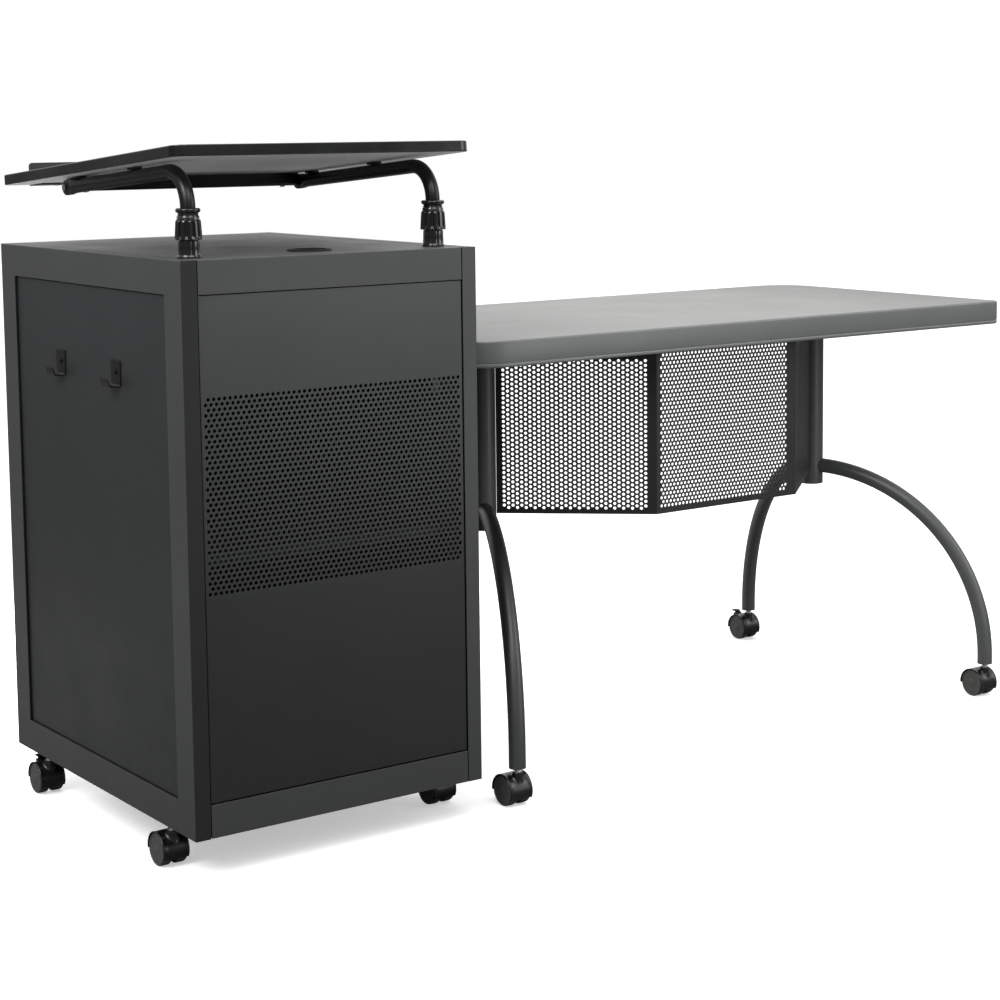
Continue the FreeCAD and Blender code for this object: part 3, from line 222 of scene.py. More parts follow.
def add_painted_crevice_shade(tree, tone, strength):
    """Painted shade: darken within 5 mm of a neighbouring surface."""
    shade = tree.add("AmbientOcclusion", {"Distance": 0.005}, samples=4).outputs["AO"]
    return tree.mix(tree.remap(shade, (0.30, 0.92), to=(strength, 0.0)), tone, BLACK)


def add_dust(tree, coords, tone, amount):
    """Patchy dust on faces turned up."""
    upward = tree.axis(tree.geometry("Normal"), "Z")
    upward = tree.remap(upward, (0.6, 1.0), to=(0.0, amount))
    patch = tree.noise(coords, scale=22.0, detail=5.0, rough=0.65)
    patch = tree.remap(patch, (0.35, 0.75), to=(0.4, 1.0))
    return tree.mix(tree.math("MULTIPLY", upward, patch), tone, DUST_COLOR)


def add_wear(tree, coords, tone, color, reach, amount):
    """Patchy pale wear on edges, found where a rounded normal leaves the plain one."""
    edge = tree.dot(tree.bevel(reach), tree.geometry("Normal"))
    edge = tree.remap(edge, (0.98, 0.72))
    patch = tree.noise(coords, scale=55.0, detail=5.0, rough=0.7)
    patch = tree.remap(patch, (0.42, 0.68))
    worn = tree.math("MULTIPLY", tree.math("MULTIPLY", edge, patch), amount)
    return tree.mix(worn, tone, scaled(color, 2.2, lift=0.02))


def finish_tone(tree, coords, color, mottle, mottle_scale, specks, streaks, painted_height_shade, painted_shade_sweeps,
                face_tone_and_painted_shade, painted_crevice_shade, dust, wear, wear_reach):
    """Base colour: a mottled tone with the wanted layers over it, painted shade among them."""
    patches = tree.noise(coords, scale=mottle_scale, detail=3.0, rough=0.55)
    tone = tree.mix(tree.remap(patches, (0.3, 0.7)), scaled(color, 1 - mottle),
                    scaled(color, 1 + mottle))
    if specks:
        tone = add_specks(tree, coords, tone, color, specks)
    if streaks:
        tone = add_streaks(tree, coords, tone, color, **streaks)
    # painted shade: darker towards one height
    if painted_height_shade:
        tone = add_painted_height_shade(tree, tone, **painted_height_shade)
    # painted shade: darker along X
    for shade_sweep in painted_shade_sweeps:
        tone = add_painted_sweep_shade(tree, tone, **shade_sweep)
    # painted shade on some faces, a darker face colour of the thing's own on others
    if face_tone_and_painted_shade:
        tone = add_face_tone_and_painted_shade(tree, tone, **face_tone_and_painted_shade)
    # painted shade in gaps and recesses
    if painted_crevice_shade:
        tone = add_painted_crevice_shade(tree, tone, painted_crevice_shade)
    if dust:
        tone = add_dust(tree, coords, tone, dust)
    if wear:
        tone = add_wear(tree, coords, tone, color, wear_reach, wear)
    return tone


def finish_roughness(tree, coords, rough, variation, scale):
    """Broad roughness patches with a fine variation added."""
    patches = tree.noise(coords, scale=scale, detail=4.0, rough=0.6)
    broad = tree.remap(patches, (0.25, 0.75),
                       to=(max(0.02, rough - variation), min(1.0, rough + variation)))
    fine = tree.noise(coords, scale=420.0, detail=2.0, rough=0.6)
    fine = tree.remap(fine, (0.3, 0.7), to=(-variation * 0.4, variation * 0.4))
    return tree.math("ADD", broad, fine, clamp=True)


def finish(name, color, rough, grain, metallic=0.0, mottle=0.06, mottle_scale=3.0,
           rough_var=0.08, rough_scale=9.0, bevel=0.0006, wear=0.0, coat=0.0, coat_rough=0.2,
           spec=0.5, specks=0.0, streaks=None, painted_height_shade=None, painted_shade_sweeps=(), face_tone_and_painted_shade=None,
           painted_crevice_shade=0.0, dust=0.0):
    """Procedural finish: layered tone (some layers painted shade), varied roughness, softened
    edges and bump grain.
    """
    material, tree, surface = principled(name)
    coords = tree.add("TexCoord").outputs["Object"]
    tone = finish_tone(tree, coords, color, mottle, mottle_scale, specks, streaks, painted_height_shade, painted_shade_sweeps,
                       face_tone_and_painted_shade, painted_crevice_shade, dust, wear, wear_reach=bevel * 2.2)
    tree.feed(surface, {
        "Base Color": tone,
        "Roughness": finish_roughness(tree, coords, rough, rough_var, rough_scale),
        "Metallic": metallic,
        "Specular IOR Level": spec,
    })
    normal = tree.bevel(bevel) if bevel else None
    if coat:
        tree.feed(surface, {"Coat Weight": coat, "Coat Roughness": coat_rough,
                            "Coat Normal": normal})
    for scale, strength, distance, detail in grain:
        height = tree.noise(coords, scale=scale, detail=detail, rough=0.55)
        normal = tree.add("Bump", {"Strength": strength, "Distance": distance,
                                   "Height": height, "Normal": normal}).outputs["Normal"]
    tree.feed(surface, {"Normal": normal})
    material.diffuse_color = (*color, 1.0)
    return material


# ------------------------------------------------------------------ materials
# Each grain entry is a bump layer: noise scale, strength, distance in metres, noise detail.
POWDER_GRAIN = ((900, 0.30, 0.00012, 2), (2600, 0.25, 0.00004, 1))
LEG_GRAIN = ((1000, 0.22, 0.00010, 2), (2600, 0.2, 0.00004, 1))
# painted shade: the frame darkens towards the floor and within 5 mm of neighbouring parts
FRAME = dict(color=(0.043, 0.0445, 0.045), rough=0.48, grain=POWDER_GRAIN, mottle=0.07,
             rough_var=0.06, bevel=0.0009, wear=0.22, painted_crevice_shade=0.9,
             painted_height_shade=dict(dark_z=0.10, clear_z=0.90, gain=0.70))
# painted shade: panels darken within 5 mm of neighbouring parts
PANEL = dict(grain=POWDER_GRAIN, mottle=0.09, rough_var=0.07, bevel=0.0008, wear=0.15,
             painted_crevice_shade=0.95)
LEG = dict(rough=0.36, grain=LEG_GRAIN, rough_var=0.06, wear=0.10)
METAL = dict(grain=((1600, 0.15, 0.00004, 3),), mottle_scale=160.0, rough_var=0.10,
             rough_scale=240.0, bevel=0.0003)

FINISHES = {
    "frame_paint": dict(FRAME, dust=0.10),
    # painted shade: a copy of the frame paint with the left frame's front faces darkened
    "frame_paint_left_painted_shade": dict(FRAME, face_tone_and_painted_shade=dict(direction=(0.0, -1.0, 0.0), gain=0.08)),
    # painted shade: these panels darken towards the bottom
    "panel_paint": dict(PANEL, color=(0.0195, 0.0215, 0.0225), rough=0.44,
                        painted_height_shade=dict(dark_z=0.38, clear_z=0.88, gain=0.55)),
    "front_panel_paint": dict(PANEL, color=(0.038, 0.0405, 0.041), rough=0.46,
                              painted_height_shade=dict(dark_z=0.40, clear_z=0.86, gain=0.20)),
    "black_paint": dict(color=(0.008, 0.0085, 0.009), rough=0.42, mottle=0.12, bevel=0.0005,
                        wear=0.12, grain=((1100, 0.35, 0.00012, 2),)),
    "hook_paint": dict(color=(0.004, 0.0043, 0.0047), rough=0.42, spec=0.30, mottle=0.10,
                       mottle_scale=30, bevel=0.0004, wear=0.10,
                       grain=((1000, 0.3, 0.00010, 2),)),
    "tube_paint": dict(color=(0.0040, 0.0043, 0.0047), rough=0.34, spec=0.30, mottle=0.12,
                       wear=0.10, grain=((1300, 0.14, 0.00004, 2),)),
    "leg_paint": dict(LEG, color=(0.066, 0.068, 0.068)),
    # painted shade: a darker copy of the leg paint for the left legs, darker still towards the
    # top, where the cabinet and desk shade them
    "leg_paint_left_painted_shade": dict(LEG, color=(0.040, 0.042, 0.042),
                           painted_height_shade=dict(dark_z=0.48, clear_z=0.06, gain=0.08)),
    "bare_steel": dict(METAL, color=(0.62, 0.62, 0.63), rough=0.26, metallic=1.0, mottle=0.10,
                       streaks=dict(scale=(40.0, 900.0, 40.0), amount=0.25)),
    "dark_screw": dict(METAL, color=(0.020, 0.020, 0.021), rough=0.34, metallic=0.6,
                       mottle=0.15, wear=0.35),
    "gloss_black_plastic": dict(color=(0.003, 0.003, 0.0035), rough=0.16, mottle=0.15,
                                mottle_scale=40, rough_var=0.05, bevel=0.0005, coat=0.45,
                                coat_rough=0.08, grain=((700, 0.10, 0.00006, 2),)),
    "hood_plastic": dict(color=(0.0030, 0.0033, 0.0038), rough=0.30, mottle=0.15,
                         mottle_scale=40, rough_var=0.07, coat=0.06, coat_rough=0.2,
                         wear=0.03, grain=((900, 0.16, 0.00008, 2),)),
    "matte_black_plastic": dict(color=(0.006, 0.006, 0.006), rough=0.50, spec=0.35,
                                mottle=0.12, mottle_scale=30, bevel=0.0005,
                                grain=((1400, 0.4, 0.00010, 2),)),
    "wheel_plastic": dict(color=(0.056, 0.055, 0.052), rough=0.50, mottle=0.12,
                          mottle_scale=60, rough_var=0.09, bevel=0.0005, wear=0.25,
                          grain=((1500, 0.3, 0.00008, 2),)),
    "edge_plastic": dict(color=(0.0038, 0.0040, 0.0042), rough=0.22, mottle=0.10,
                         mottle_scale=12, bevel=0.0004, grain=((1200, 0.25, 0.00008, 2),)),
    "desk_edge_plastic": dict(color=(0.140, 0.145, 0.145), rough=0.36, mottle=0.05,
                              mottle_scale=6, rough_var=0.06, bevel=0.0004, wear=0.05,
                              grain=((1300, 0.3, 0.00009, 2),)),
    "laminate": dict(color=(0.186, 0.187, 0.181), rough=0.40, mottle=0.025, mottle_scale=2.0,
                     rough_var=0.06, rough_scale=5.0, bevel=0.0, specks=0.22,
                     grain=((1500, 0.35, 0.00010, 3), (420, 0.12, 0.0001, 2)),
                     streaks=dict(scale=(7.0, 330.0, 7.0), amount=0.10),
                     # painted shade: the desk top darker towards its left and right ends
                     painted_shade_sweeps=(dict(clear_x=0.10, dark_x=-0.34, gain=0.74),
                             dict(clear_x=0.62, dark_x=0.90, gain=0.68))),
    "board_laminate": dict(color=(0.80, 0.805, 0.80), rough=0.50, mottle=0.03, bevel=0.0,
                           specks=0.18, grain=((1500, 0.30, 0.00010, 3),),
                           # the board's own grey upper face over its pale underside, not shade
                           face_tone_and_painted_shade=dict(direction=(0.0, 0.0, 1.0), gain=0.24,
                                           span=(0.1, 0.4))),
    "bumper_rubber": dict(color=(0.010, 0.010, 0.010), rough=0.62, mottle=0.15,
                          mottle_scale=50, bevel=0.0008, grain=((1800, 0.5, 0.00012, 3),)),
}
materials = {name: finish(name, **settings) for name, settings in FINISHES.items()}

# CAD parts whose finish isn't that of their slot
PART_FINISHES = {
    "hook_screws": "dark_screw",
    "support_tube_left": "tube_paint",
    "support_tube_right": "tube_paint",
    "cross_bar": "tube_paint",
    # painted shade: darker copy of the frame paint for the left frame's front faces
    "side_frame_left": "frame_paint_left_painted_shade",
    # painted shade: darker copy of the leg paint for the left legs
    "arched_legs_left": "leg_paint_left_painted_shade",
}


def paint_cad_parts():
    slots = {part["node"]: part["material_slot"] for part in frame["record"]["subparts"]}
    for name, part in nodes.items():
        key = PART_FINISHES.get(name, slots[name])
        if name.startswith("caster_housing"):
            key = "hood_plastic"
        part.data.materials.clear()
        part.data.materials.append(materials[key])
        for face in part.data.polygons:
            face.material_index = 0


paint_cad_parts()


# ------------------------------------------------------------------ mesh helpers
class Shell:
    """Points and faces of one mesh, gathered bit by bit."""

    def __init__(self):
        self.points, self.faces = [], []

    def add(self, points):
        """Add points and return their indices."""
        start = len(self.points)
        self.points.extend(points)
        return list(range(start, len(self.points)))

    def skin(self, first, second, closed=True, flip=False):
        """Quads between two rings, or two open rows, of equal length."""
        for k in range(len(first) if closed else len(first) - 1):
            n = (k + 1) % len(first)
            if flip:
                self.faces.append((first[k], second[k], second[n], first[n]))
            else:
                self.faces.append((first[k], first[n], second[n], second[k]))

    def cap(self, first, last):
        self.faces += [list(first), list(reversed(last))]

    def join(self, other, place=tuple, flip=False):
        """Take in another shell, its points moved by place."""
        start = len(self.points)
        self.points.extend(place(p) for p in other.points)
        for face in other.faces:
            face = [start + i for i in face]
            self.faces.append(face[::-1] if flip else face)


def add_piece(name, shell, material, body, replaced, sharp, origin=None):
    """Make an object of a shell in layout millimetres; edges over sharp degrees stay hard."""
    place = to_frame(*origin) if origin else Vector((0, 0, 0))
    mesh = bpy.data.meshes.new(name)
    mesh.from_pydata([tuple(to_frame(*p) - place) for p in shell.points], [], shell.faces)
    bm = bmesh.new()
    bm.from_mesh(mesh)
    bmesh.ops.remove_doubles(bm, verts=bm.verts, dist=2e-6)
    bmesh.ops.recalc_face_normals(bm, faces=bm.faces)
    bm.to_mesh(mesh)
    bm.free()
    mesh.polygons.foreach_set("use_smooth", [True] * len(mesh.polygons))
    mesh.set_sharp_from_angle(angle=math.radians(sharp))
    mesh.materials.append(materials[material])
    mesh.update()
    piece = bpy.data.objects.new(name, mesh)
    piece.location = place
    scene.collection.objects.link(piece)
    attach(piece, body)
    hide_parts(replaced)


def arc_point(radius, degrees):
    angle = math.radians(degrees)
    return radius * math.cos(angle), radius * math.sin(angle)


def lathe(profile, segments, closed=True):
    """Shell turned about Z from (r, z) points; an open profile may end on the axis."""
    shell, rings = Shell(), []
    for r, z in profile:
        count = 1 if r < 1e-6 else segments
        turns = [2 * math.pi * k / segments for k in range(count)]
        rings.append(shell.add([Vector((r * math.cos(a), r * math.sin(a), z)) for a in turns]))
    for ring, following in zip(rings, rings[1:] + (rings[:1] if closed else [])):
        if len(following) == 1:
            for k in range(segments):
                shell.faces.append((ring[k], ring[(k + 1) % segments], following[0]))
        else:
            shell.skin(ring, following)
    return shell


def smooth(start, end, x):
    t = min(1.0, max(0.0, (x - start) / (end - start)))
    return t * t * (3 - 2 * t)


# ------------------------------------------------------------------ perforated sheet
Field = namedtuple("Field", "first_u columns first_v rows")


def perforated(strips, v_start, v_end, pitch_u, pitch_v, radius, thickness, place,
               shift_first=False):
    """Sheet with round holes in staggered rows.

    strips: (u_start, u_end, Field or None) flat strips. place(u, v, depth) gives a layout
    point, the depth running into the sheet. Every second row moves by half a pitch.
    """
    shell, index = Shell(), {}

    def point(u, v, depth):
        key = (round(u, 4), round(v, 4), round(depth, 4))
        if key not in index:
            index[key] = len(shell.points)
            shell.points.append(place(u, v, depth))
        return index[key]

    def quad(*corners):
        shell.faces.append([point(*corner) for corner in corners])

    def both_sides(loop):
        quad(*((u, v, 0.0) for u, v in loop))
        quad(*((u, v, thickness) for u, v in reversed(loop)))

    def holed_cell(u, v, low, high):
        half, quarter = pitch_u / 2, pitch_u / 4
        ring = [(u + half, v), (u + half, high), (u + quarter, high), (u, high),
                (u - quarter, high), (u - half, high), (u - half, v), (u - half, low),
                (u - quarter, low), (u, low), (u + quarter, low), (u + half, low)]
        turns = [2 * math.pi * k / 12 for k in range(12)]
        hole = [(u + radius * math.cos(a), v + radius * math.sin(a)) for a in turns]
        for k in range(12):
            n = (k + 1) % 12
            quad((*ring[k], 0.0), (*ring[n], 0.0), (*hole[n], 0.0), (*hole[k], 0.0))
            quad((*hole[k], thickness), (*hole[n], thickness),
                 (*ring[n], thickness), (*ring[k], thickness))
            quad((*hole[k], 0.0), (*hole[n], 0.0), (*hole[n], thickness), (*hole[k], thickness))

    for u_start, u_end, field in strips:
        if field is None:
            both_sides([(u_start, v_start), (u_end, v_start), (u_end, v_end), (u_start, v_end)])
            continue
        left = field.first_u - pitch_u / 2
        lattice = [left + pitch_u / 4 * k for k in range(4 * field.columns + 3)]
        bottom = field.first_v - pitch_v / 2
        top = bottom + field.rows * pitch_v
        # plain margins below and above the holes
        both_sides([(u_start, v_start), (u_end, v_start), (u_end, bottom)]
                   + [(u, bottom) for u in reversed(lattice)] + [(u_start, bottom)])
        both_sides([(u_start, top)] + [(u, top) for u in lattice]
                   + [(u_end, top), (u_end, v_end), (u_start, v_end)])
        for j in range(field.rows):
            v = field.first_v + j * pitch_v
            low, high = v - pitch_v / 2, v + pitch_v / 2
            row_start = left + (pitch_u / 2 if (j + shift_first) % 2 else 0.0)
            row_end = row_start + field.columns * pitch_u
            # plain ends of the row
            before = [u for u in lattice if u <= row_start + 1e-6]
            after = [u for u in lattice if u >= row_end - 1e-6]
            both_sides([(u_start, low)] + [(u, low) for u in before] + [(row_start, v)]
                       + [(u, high) for u in reversed(before)] + [(u_start, high)])
            both_sides([(u, low) for u in after] + [(u_end, low), (u_end, high)]
                       + [(u, high) for u in reversed(after)] + [(row_end, v)])
            for i in range(field.columns):
                holed_cell(row_start + pitch_u * (i + 0.5), v, low, high)
    return shell


# ------------------------------------------------------------------ front panel
PANEL_THICK = 1.5
PANEL_EDGE_RADIUS = 1.2
PANEL_COLUMNS, PANEL_ROWS = 50, 38
PANEL_PITCH_X, PANEL_PITCH_Z = 8.84, 7.69
PANEL_FIRST_ROW = 427.9
PANEL_HOLE_RADIUS = 2.8


def front_panel():
    """Perforated sheet with returns folded back (+Y) round all four sides."""
    (left, front, bottom), (right, back, top) = layout_box("front_panel")
    radius, depth = PANEL_EDGE_RADIUS, back - front
    field_width = PANEL_COLUMNS * PANEL_PITCH_X + PANEL_PITCH_X / 2
    first_hole = (left + right) / 2 - field_width / 2 + PANEL_PITCH_X / 2
    field = Field(first_hole, PANEL_COLUMNS, PANEL_FIRST_ROW, PANEL_ROWS)
    shell = perforated([(left + radius, right - radius, field)], bottom + radius, top - radius,
                       PANEL_PITCH_X, PANEL_PITCH_Z, PANEL_HOLE_RADIUS, PANEL_THICK,
                       lambda x, z, inward: (x, front + inward, z))
    # section of the return: (outward from the flat sheet, depth)
    section = [(0.0, 0.0)]
    for degrees in (15, 30, 45, 60, 75, 90):
        along, across = arc_point(radius, degrees)
        section.append((across, radius - along))
    section += [(radius, depth), (radius - PANEL_THICK, depth),
                (radius - PANEL_THICK, PANEL_THICK), (0.0, PANEL_THICK)]
    # mitred corners: x, z and the outward signs
    corners = [(left + radius, bottom + radius, -1, -1), (right - radius, bottom + radius, 1, -1),
               (right - radius, top - radius, 1, 1), (left + radius, top - radius, -1, 1)]
    rings = [shell.add([(x + sign_x * out, front + inward, z + sign_z * out)
                        for out, inward in section]) for x, z, sign_x, sign_z in corners]
    for ring, following in zip(rings, rings[1:] + rings[:1]):
        shell.skin(ring, following, closed=False, flip=True)
    add_piece("front_panel_perforated", shell, "front_panel_paint", "base", "front_panel",
              sharp=40)


front_panel()

# ------------------------------------------------------------------ modesty panel
# One sheet: a middle section across the front and two sides folded back towards +Y.
FOLD_LEFT, FOLD_RIGHT = 977.5, 1306.5          # x where the outer faces would meet
SIDE_LENGTH = 283.0
FOLD_ANGLE = math.radians(41.2)
MODESTY_THICK = 1.2
BEND_RADIUS = 3.2                              # of the outer face
BEND_STEPS = 6
BEND_TANGENT = BEND_RADIUS * math.tan(FOLD_ANGLE / 2)
BEND_LENGTH = BEND_RADIUS * FOLD_ANGLE
MODESTY_HOLE_RADIUS = 2.7
MODESTY_PITCH = 8.27                           # between neighbours in a row or column
MIDDLE_ROW_PITCH, SIDE_COLUMN_PITCH = 7.187, 7.80
FLANGE_DEPTH, FLANGE_INSET = 22, 8

# distances along the sheet: left end, left bend's start and end, right bend's, right end
side_flat = SIDE_LENGTH - BEND_TANGENT
middle_flat = (FOLD_RIGHT - FOLD_LEFT) - 2 * BEND_TANGENT
SHEET = [0.0, side_flat, side_flat + BEND_LENGTH, side_flat + BEND_LENGTH + middle_flat,
         side_flat + 2 * BEND_LENGTH + middle_flat,
         2 * side_flat + 2 * BEND_LENGTH + middle_flat]
(_, MODESTY_FRONT, MODESTY_BOTTOM), (_, _, MODESTY_TOP) = layout_box("modesty_panel")


def modesty_point(along, height, depth):
    """Outer face at depth 0, the thickness running towards +Y."""
    if SHEET[2] < along <= SHEET[3]:
        x, y = FOLD_LEFT + BEND_TANGENT + (along - SHEET[2]), MODESTY_FRONT
        return x, y + depth, height
    is_left = along <= SHEET[2]
    side, fold = (-1, FOLD_LEFT) if is_left else (1, FOLD_RIGHT)
    if SHEET[1] < along <= SHEET[4]:
        turn = (FOLD_ANGLE - (along - SHEET[1]) / BEND_RADIUS if is_left
                else (along - SHEET[3]) / BEND_RADIUS)
        x = fold - side * BEND_TANGENT + side * BEND_RADIUS * math.sin(turn)
        y = MODESTY_FRONT + BEND_RADIUS - BEND_RADIUS * math.cos(turn)
    else:
        turn = FOLD_ANGLE
        away = SIDE_LENGTH - along if is_left else along - SHEET[4] + BEND_TANGENT
        x, y = fold + side * away * math.cos(turn), MODESTY_FRONT + away * math.sin(turn)
    return x - side * math.sin(turn) * depth, y + math.cos(turn) * depth, height


def modesty_panel():
    bottom, top, thick = MODESTY_BOTTOM, MODESTY_TOP, MODESTY_THICK
    shell = Shell()
    # sides: upright columns of holes, every second column moved half a pitch
    for start, end, first_column in ((SHEET[0], SHEET[1], 13.62), (SHEET[4], SHEET[5], 18.6)):
        field = Field(430.5, 32, start + first_column, 33)
        part = perforated([(bottom, top, field)], start, end, MODESTY_PITCH, SIDE_COLUMN_PITCH,
                          MODESTY_HOLE_RADIUS, thick,
                          lambda height, along, depth: modesty_point(along, height, depth),
                          shift_first=True)
        shell.join(part, flip=True)
    # middle: level rows, every second row moved half a pitch
    middle_field = Field(SHEET[2] + 10.68 - BEND_TANGENT, 36, 433.7, 38)
    bends = [[start + BEND_LENGTH * k / BEND_STEPS for k in range(BEND_STEPS + 1)]
             for start in (SHEET[1], SHEET[3])]
    bend_strips = [(a, b, None) for bend in bends for a, b in zip(bend, bend[1:])]
    for strips in ([(SHEET[2], SHEET[3], middle_field)], bend_strips):
        shell.join(perforated(strips, bottom, top, MODESTY_PITCH, MIDDLE_ROW_PITCH,
                              MODESTY_HOLE_RADIUS, thick, modesty_point))

    def edge_face(*corners):
        shell.faces.append(shell.add([modesty_point(*corner) for corner in corners]))

    cuts = [SHEET[0], *bends[0], *bends[1], SHEET[5]]
    for a, b in zip(cuts, cuts[1:]):
        edge_face((a, bottom, 0.0), (a, bottom, thick), (b, bottom, thick), (b, bottom, 0.0))
        edge_face((a, top, 0.0), (b, top, 0.0), (b, top, thick), (a, top, thick))
    for end in (SHEET[0], SHEET[5]):
        edge_face((end, bottom, 0.0), (end, top, 0.0), (end, top, thick), (end, bottom, thick))
    # flange along the top of the middle section
    inner, back = MODESTY_FRONT + thick, MODESTY_FRONT + FLANGE_DEPTH
    section = ((inner, top), (back, top), (back, top - thick), (inner, top - thick))
    left, right = (shell.add([(x, y, z) for y, z in section])
                   for x in (FOLD_LEFT + FLANGE_INSET, FOLD_RIGHT - FLANGE_INSET))
    shell.skin(left, right, flip=True)
    shell.faces += [left, (right[0], right[3], right[2], right[1])]
    add_piece("modesty_panel_perforated", shell, "black_paint", "base", "modesty_panel",
              sharp=40)


modesty_panel()

# ------------------------------------------------------------------ desk edge band
BAND_WIDTH = 4.0
BAND_ROUND = 3.5
DESK_CORNER, DESK_FRONT_RIGHT_CORNER = 76.0, 8.0
# groove in the band's outer face: (outward, height above the underside)
BAND_GROOVE = ((4.0, 8.2), (3.85, 7.9), (3.2, 7.6), (3.2, 6.7), (3.85, 6.4), (4.0, 6.1))


def desk_edge_band():
    (x0, y0, bottom), (x1, y1, top) = layout_box("desk_edge_band")
    x0, y0, x1, y1 = x0 + BAND_WIDTH, y0 + BAND_WIDTH, x1 - BAND_WIDTH, y1 - BAND_WIDTH
    big, small = DESK_CORNER, DESK_FRONT_RIGHT_CORNER
    # section: (outward, z)
    rounds = [arc_point(BAND_ROUND, degrees) for degrees in range(0, 91, 10)]
    flat = BAND_WIDTH - BAND_ROUND
    section = [(0.0, top)]
    section += [(flat + across, top - BAND_ROUND + along) for along, across in rounds]
    section += [(out, bottom + height) for out, height in BAND_GROOVE]
    section += [(flat + along, bottom + BAND_ROUND - across) for along, across in rounds]
    section.append((0.0, bottom))
    shell, rings = Shell(), []
    for x, y, start, radius in ((x1 - small, y0 + small, -90, small),
                                (x1 - big, y1 - big, 0, big),
                                (x0 + big, y1 - big, 90, big),
                                (x0 + big, y0 + big, 180, big)):
        for k in range(31):
            nx, ny = arc_point(1.0, start + 90.0 * k / 30)
            rings.append(shell.add([(x + radius * nx + nx * out, y + radius * ny + ny * out, z)
                                    for out, z in section]))
    for ring, following in zip(rings, rings[1:] + rings[:1]):
        shell.skin(ring, following, flip=True)
    add_piece("desk_edge_moulding", shell, "desk_edge_plastic", "base", "desk_edge_band",
              sharp=40)


desk_edge_band()

# ------------------------------------------------------------------ twist-lock collars
POSTS = {side: layout_centre("lock_nut_" + side)[:2] for side in ("left", "right")}
tube_low, tube_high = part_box("support_tube_left")
TUBE_RADIUS = (tube_high.x - tube_low.x) / 2 * 1000
TUBE_BOTTOM = tube_low.z * 1000
TUBE_CLEARANCE = 0.12
SLEEVE_BORE = 12.62                            # below the step in the bore
SLEEVE_STEP = 24.1


def rounded(points):
    """(r, z) outline from (r, z, radius) points, each radius becoming a short curve."""
    outline = []
    for i, (r, z, radius) in enumerate(points):
        if radius <= 0 or i in (0, len(points) - 1):
            outline.append((r, z))
            continue
        corner = Vector((r, z))
        back = (Vector(points[i - 1][:2]) - corner).normalized()
        ahead = (Vector(points[i + 1][:2]) - corner).normalized()
        for j in range(5):
            t = j / 4
            first = corner + back * radius * (1 - t)
            second = corner + ahead * radius * t
            outline.append(tuple(first * (1 - t) + second * t))
    return outline


def carve(shell, count, phase, rise, depth, strength):
    """Sink upright grooves round a turned shell; strength(r, z) runs from 0 to 1."""
    for i, p in enumerate(shell.points):
        r = math.hypot(p.x, p.y)
        wave = math.cos(count * (math.atan2(p.y, p.x) - phase))
        k = (r - depth * smooth(*rise, wave) * strength(r, p.z)) / r
        shell.points[i] = Vector((p.x * k, p.y * k, p.z))


def collet_sleeves():
    """One sleeve on each post, with six shallow slots in its lower part."""
    (_, _, bottom), (_, _, top) = layout_box("collet_bodies")
    height, bore = top - bottom, TUBE_RADIUS + TUBE_CLEARANCE
    # r, z, corner radius
    sleeve = lathe(rounded([
        (SLEEVE_BORE, 0, 0), (17.3, 0, 0.5), (17.4, 2.6, 0.6), (16.3, 4.2, 0.8),
        (15.6, 14.0, 0), (15.5, 24.8, 0.5), (13.9, 25.4, 0.2), (13.9, 62.6, 0.2),
        (14.6, 63.6, 0.3), (14.9, 65.2, 0.3), (17.2, 66.4, 0.6), (18.0, 67.4, 0.5),
        (18.0, 70.6, 0.8), (16.6, height, 0.8), (bore + 1.2, height, 0.6),
        (bore, height - 1.2, 0), (bore, SLEEVE_STEP, 0), (SLEEVE_BORE, SLEEVE_STEP, 0),
    ]), segments=96)
    carve(sleeve, count=6, phase=0.35, rise=(0.80, 0.97), depth=1.0,
          strength=lambda r, z: 4.5 < z < 24.6 and r > 14.8)
    shell = Shell()
    for x, y in POSTS.values():
        shell.join(sleeve, lambda p: (x + p.x, y + p.y, bottom + p.z))
    add_piece("collet_sleeves", shell, "gloss_black_plastic", "base", "collet_bodies", sharp=32)


def twist_nut(side, x, y):
    """Nut with a tapering grip cut by twelve flutes."""
    (_, _, bottom), (_, _, top) = layout_box("lock_nut_" + side)
    height, bore = top - bottom, 14.05
    # r, z
    profile = [(bore, 0), (19.0, 0), (19.7, 0.4), (19.9, 1.1), (19.85, 2.6)]
    profile += [(19.85 - 1.35 * t, 2.6 + 23.4 * t) for t in (0.08, 0.2, 0.4, 0.6, 0.8, 0.92, 1.0)]
    profile += [(18.2, 27.4), (17.4, 28.6), (16.6, 29.0), (16.5, 29.6), (16.4, 33.4),
                (16.1, 34.0), (15.2, 34.3), (15.0, 35.0), (15.3, 35.6), (15.3, height - 0.5),
                (14.9, height), (bore, height)]
    nut = lathe(profile, segments=216)
    carve(nut, count=12, phase=-0.11, rise=(-0.10, 0.55), depth=2.1,
          strength=lambda r, z: (r >= 16.9) * smooth(1.6, 3.6, z) * (1 - smooth(27.0, 28.6, z)))
    shell = Shell()
    shell.join(nut, lambda p: (x + p.x, y + p.y, bottom + p.z))
    add_piece("twist_nut_" + side, shell, "gloss_black_plastic", "nut_" + side,
              "lock_nut_" + side, sharp=30, origin=(x, y, bottom))


collet_sleeves()
for side, (x, y) in POSTS.items():
    twist_nut(side, x, y)

# ------------------------------------------------------------------ goose-neck tubes
# Each rises from its post, bends back over +Y and ends in a flattened eye at the pivot.
TILT_DEGREES = 4.7                             # fall of the arm below level
BEND_START_Z, NECK_RADIUS = 986.0, 52.0
EYE_HALF_THICK, EYE_RADIUS = 4.0, 12.5
TUBE_SEGMENTS = 48
# section places on the arm: shares of its length, then distances before the pivot
ARM_SHARES = (0.1, 0.3, 0.5, 0.7)
ARM_ENDINGS = (62, 52, 47, 43, 39, 35, 31, 27, 23, 19, 15.5, 13, 8, 4, 0)


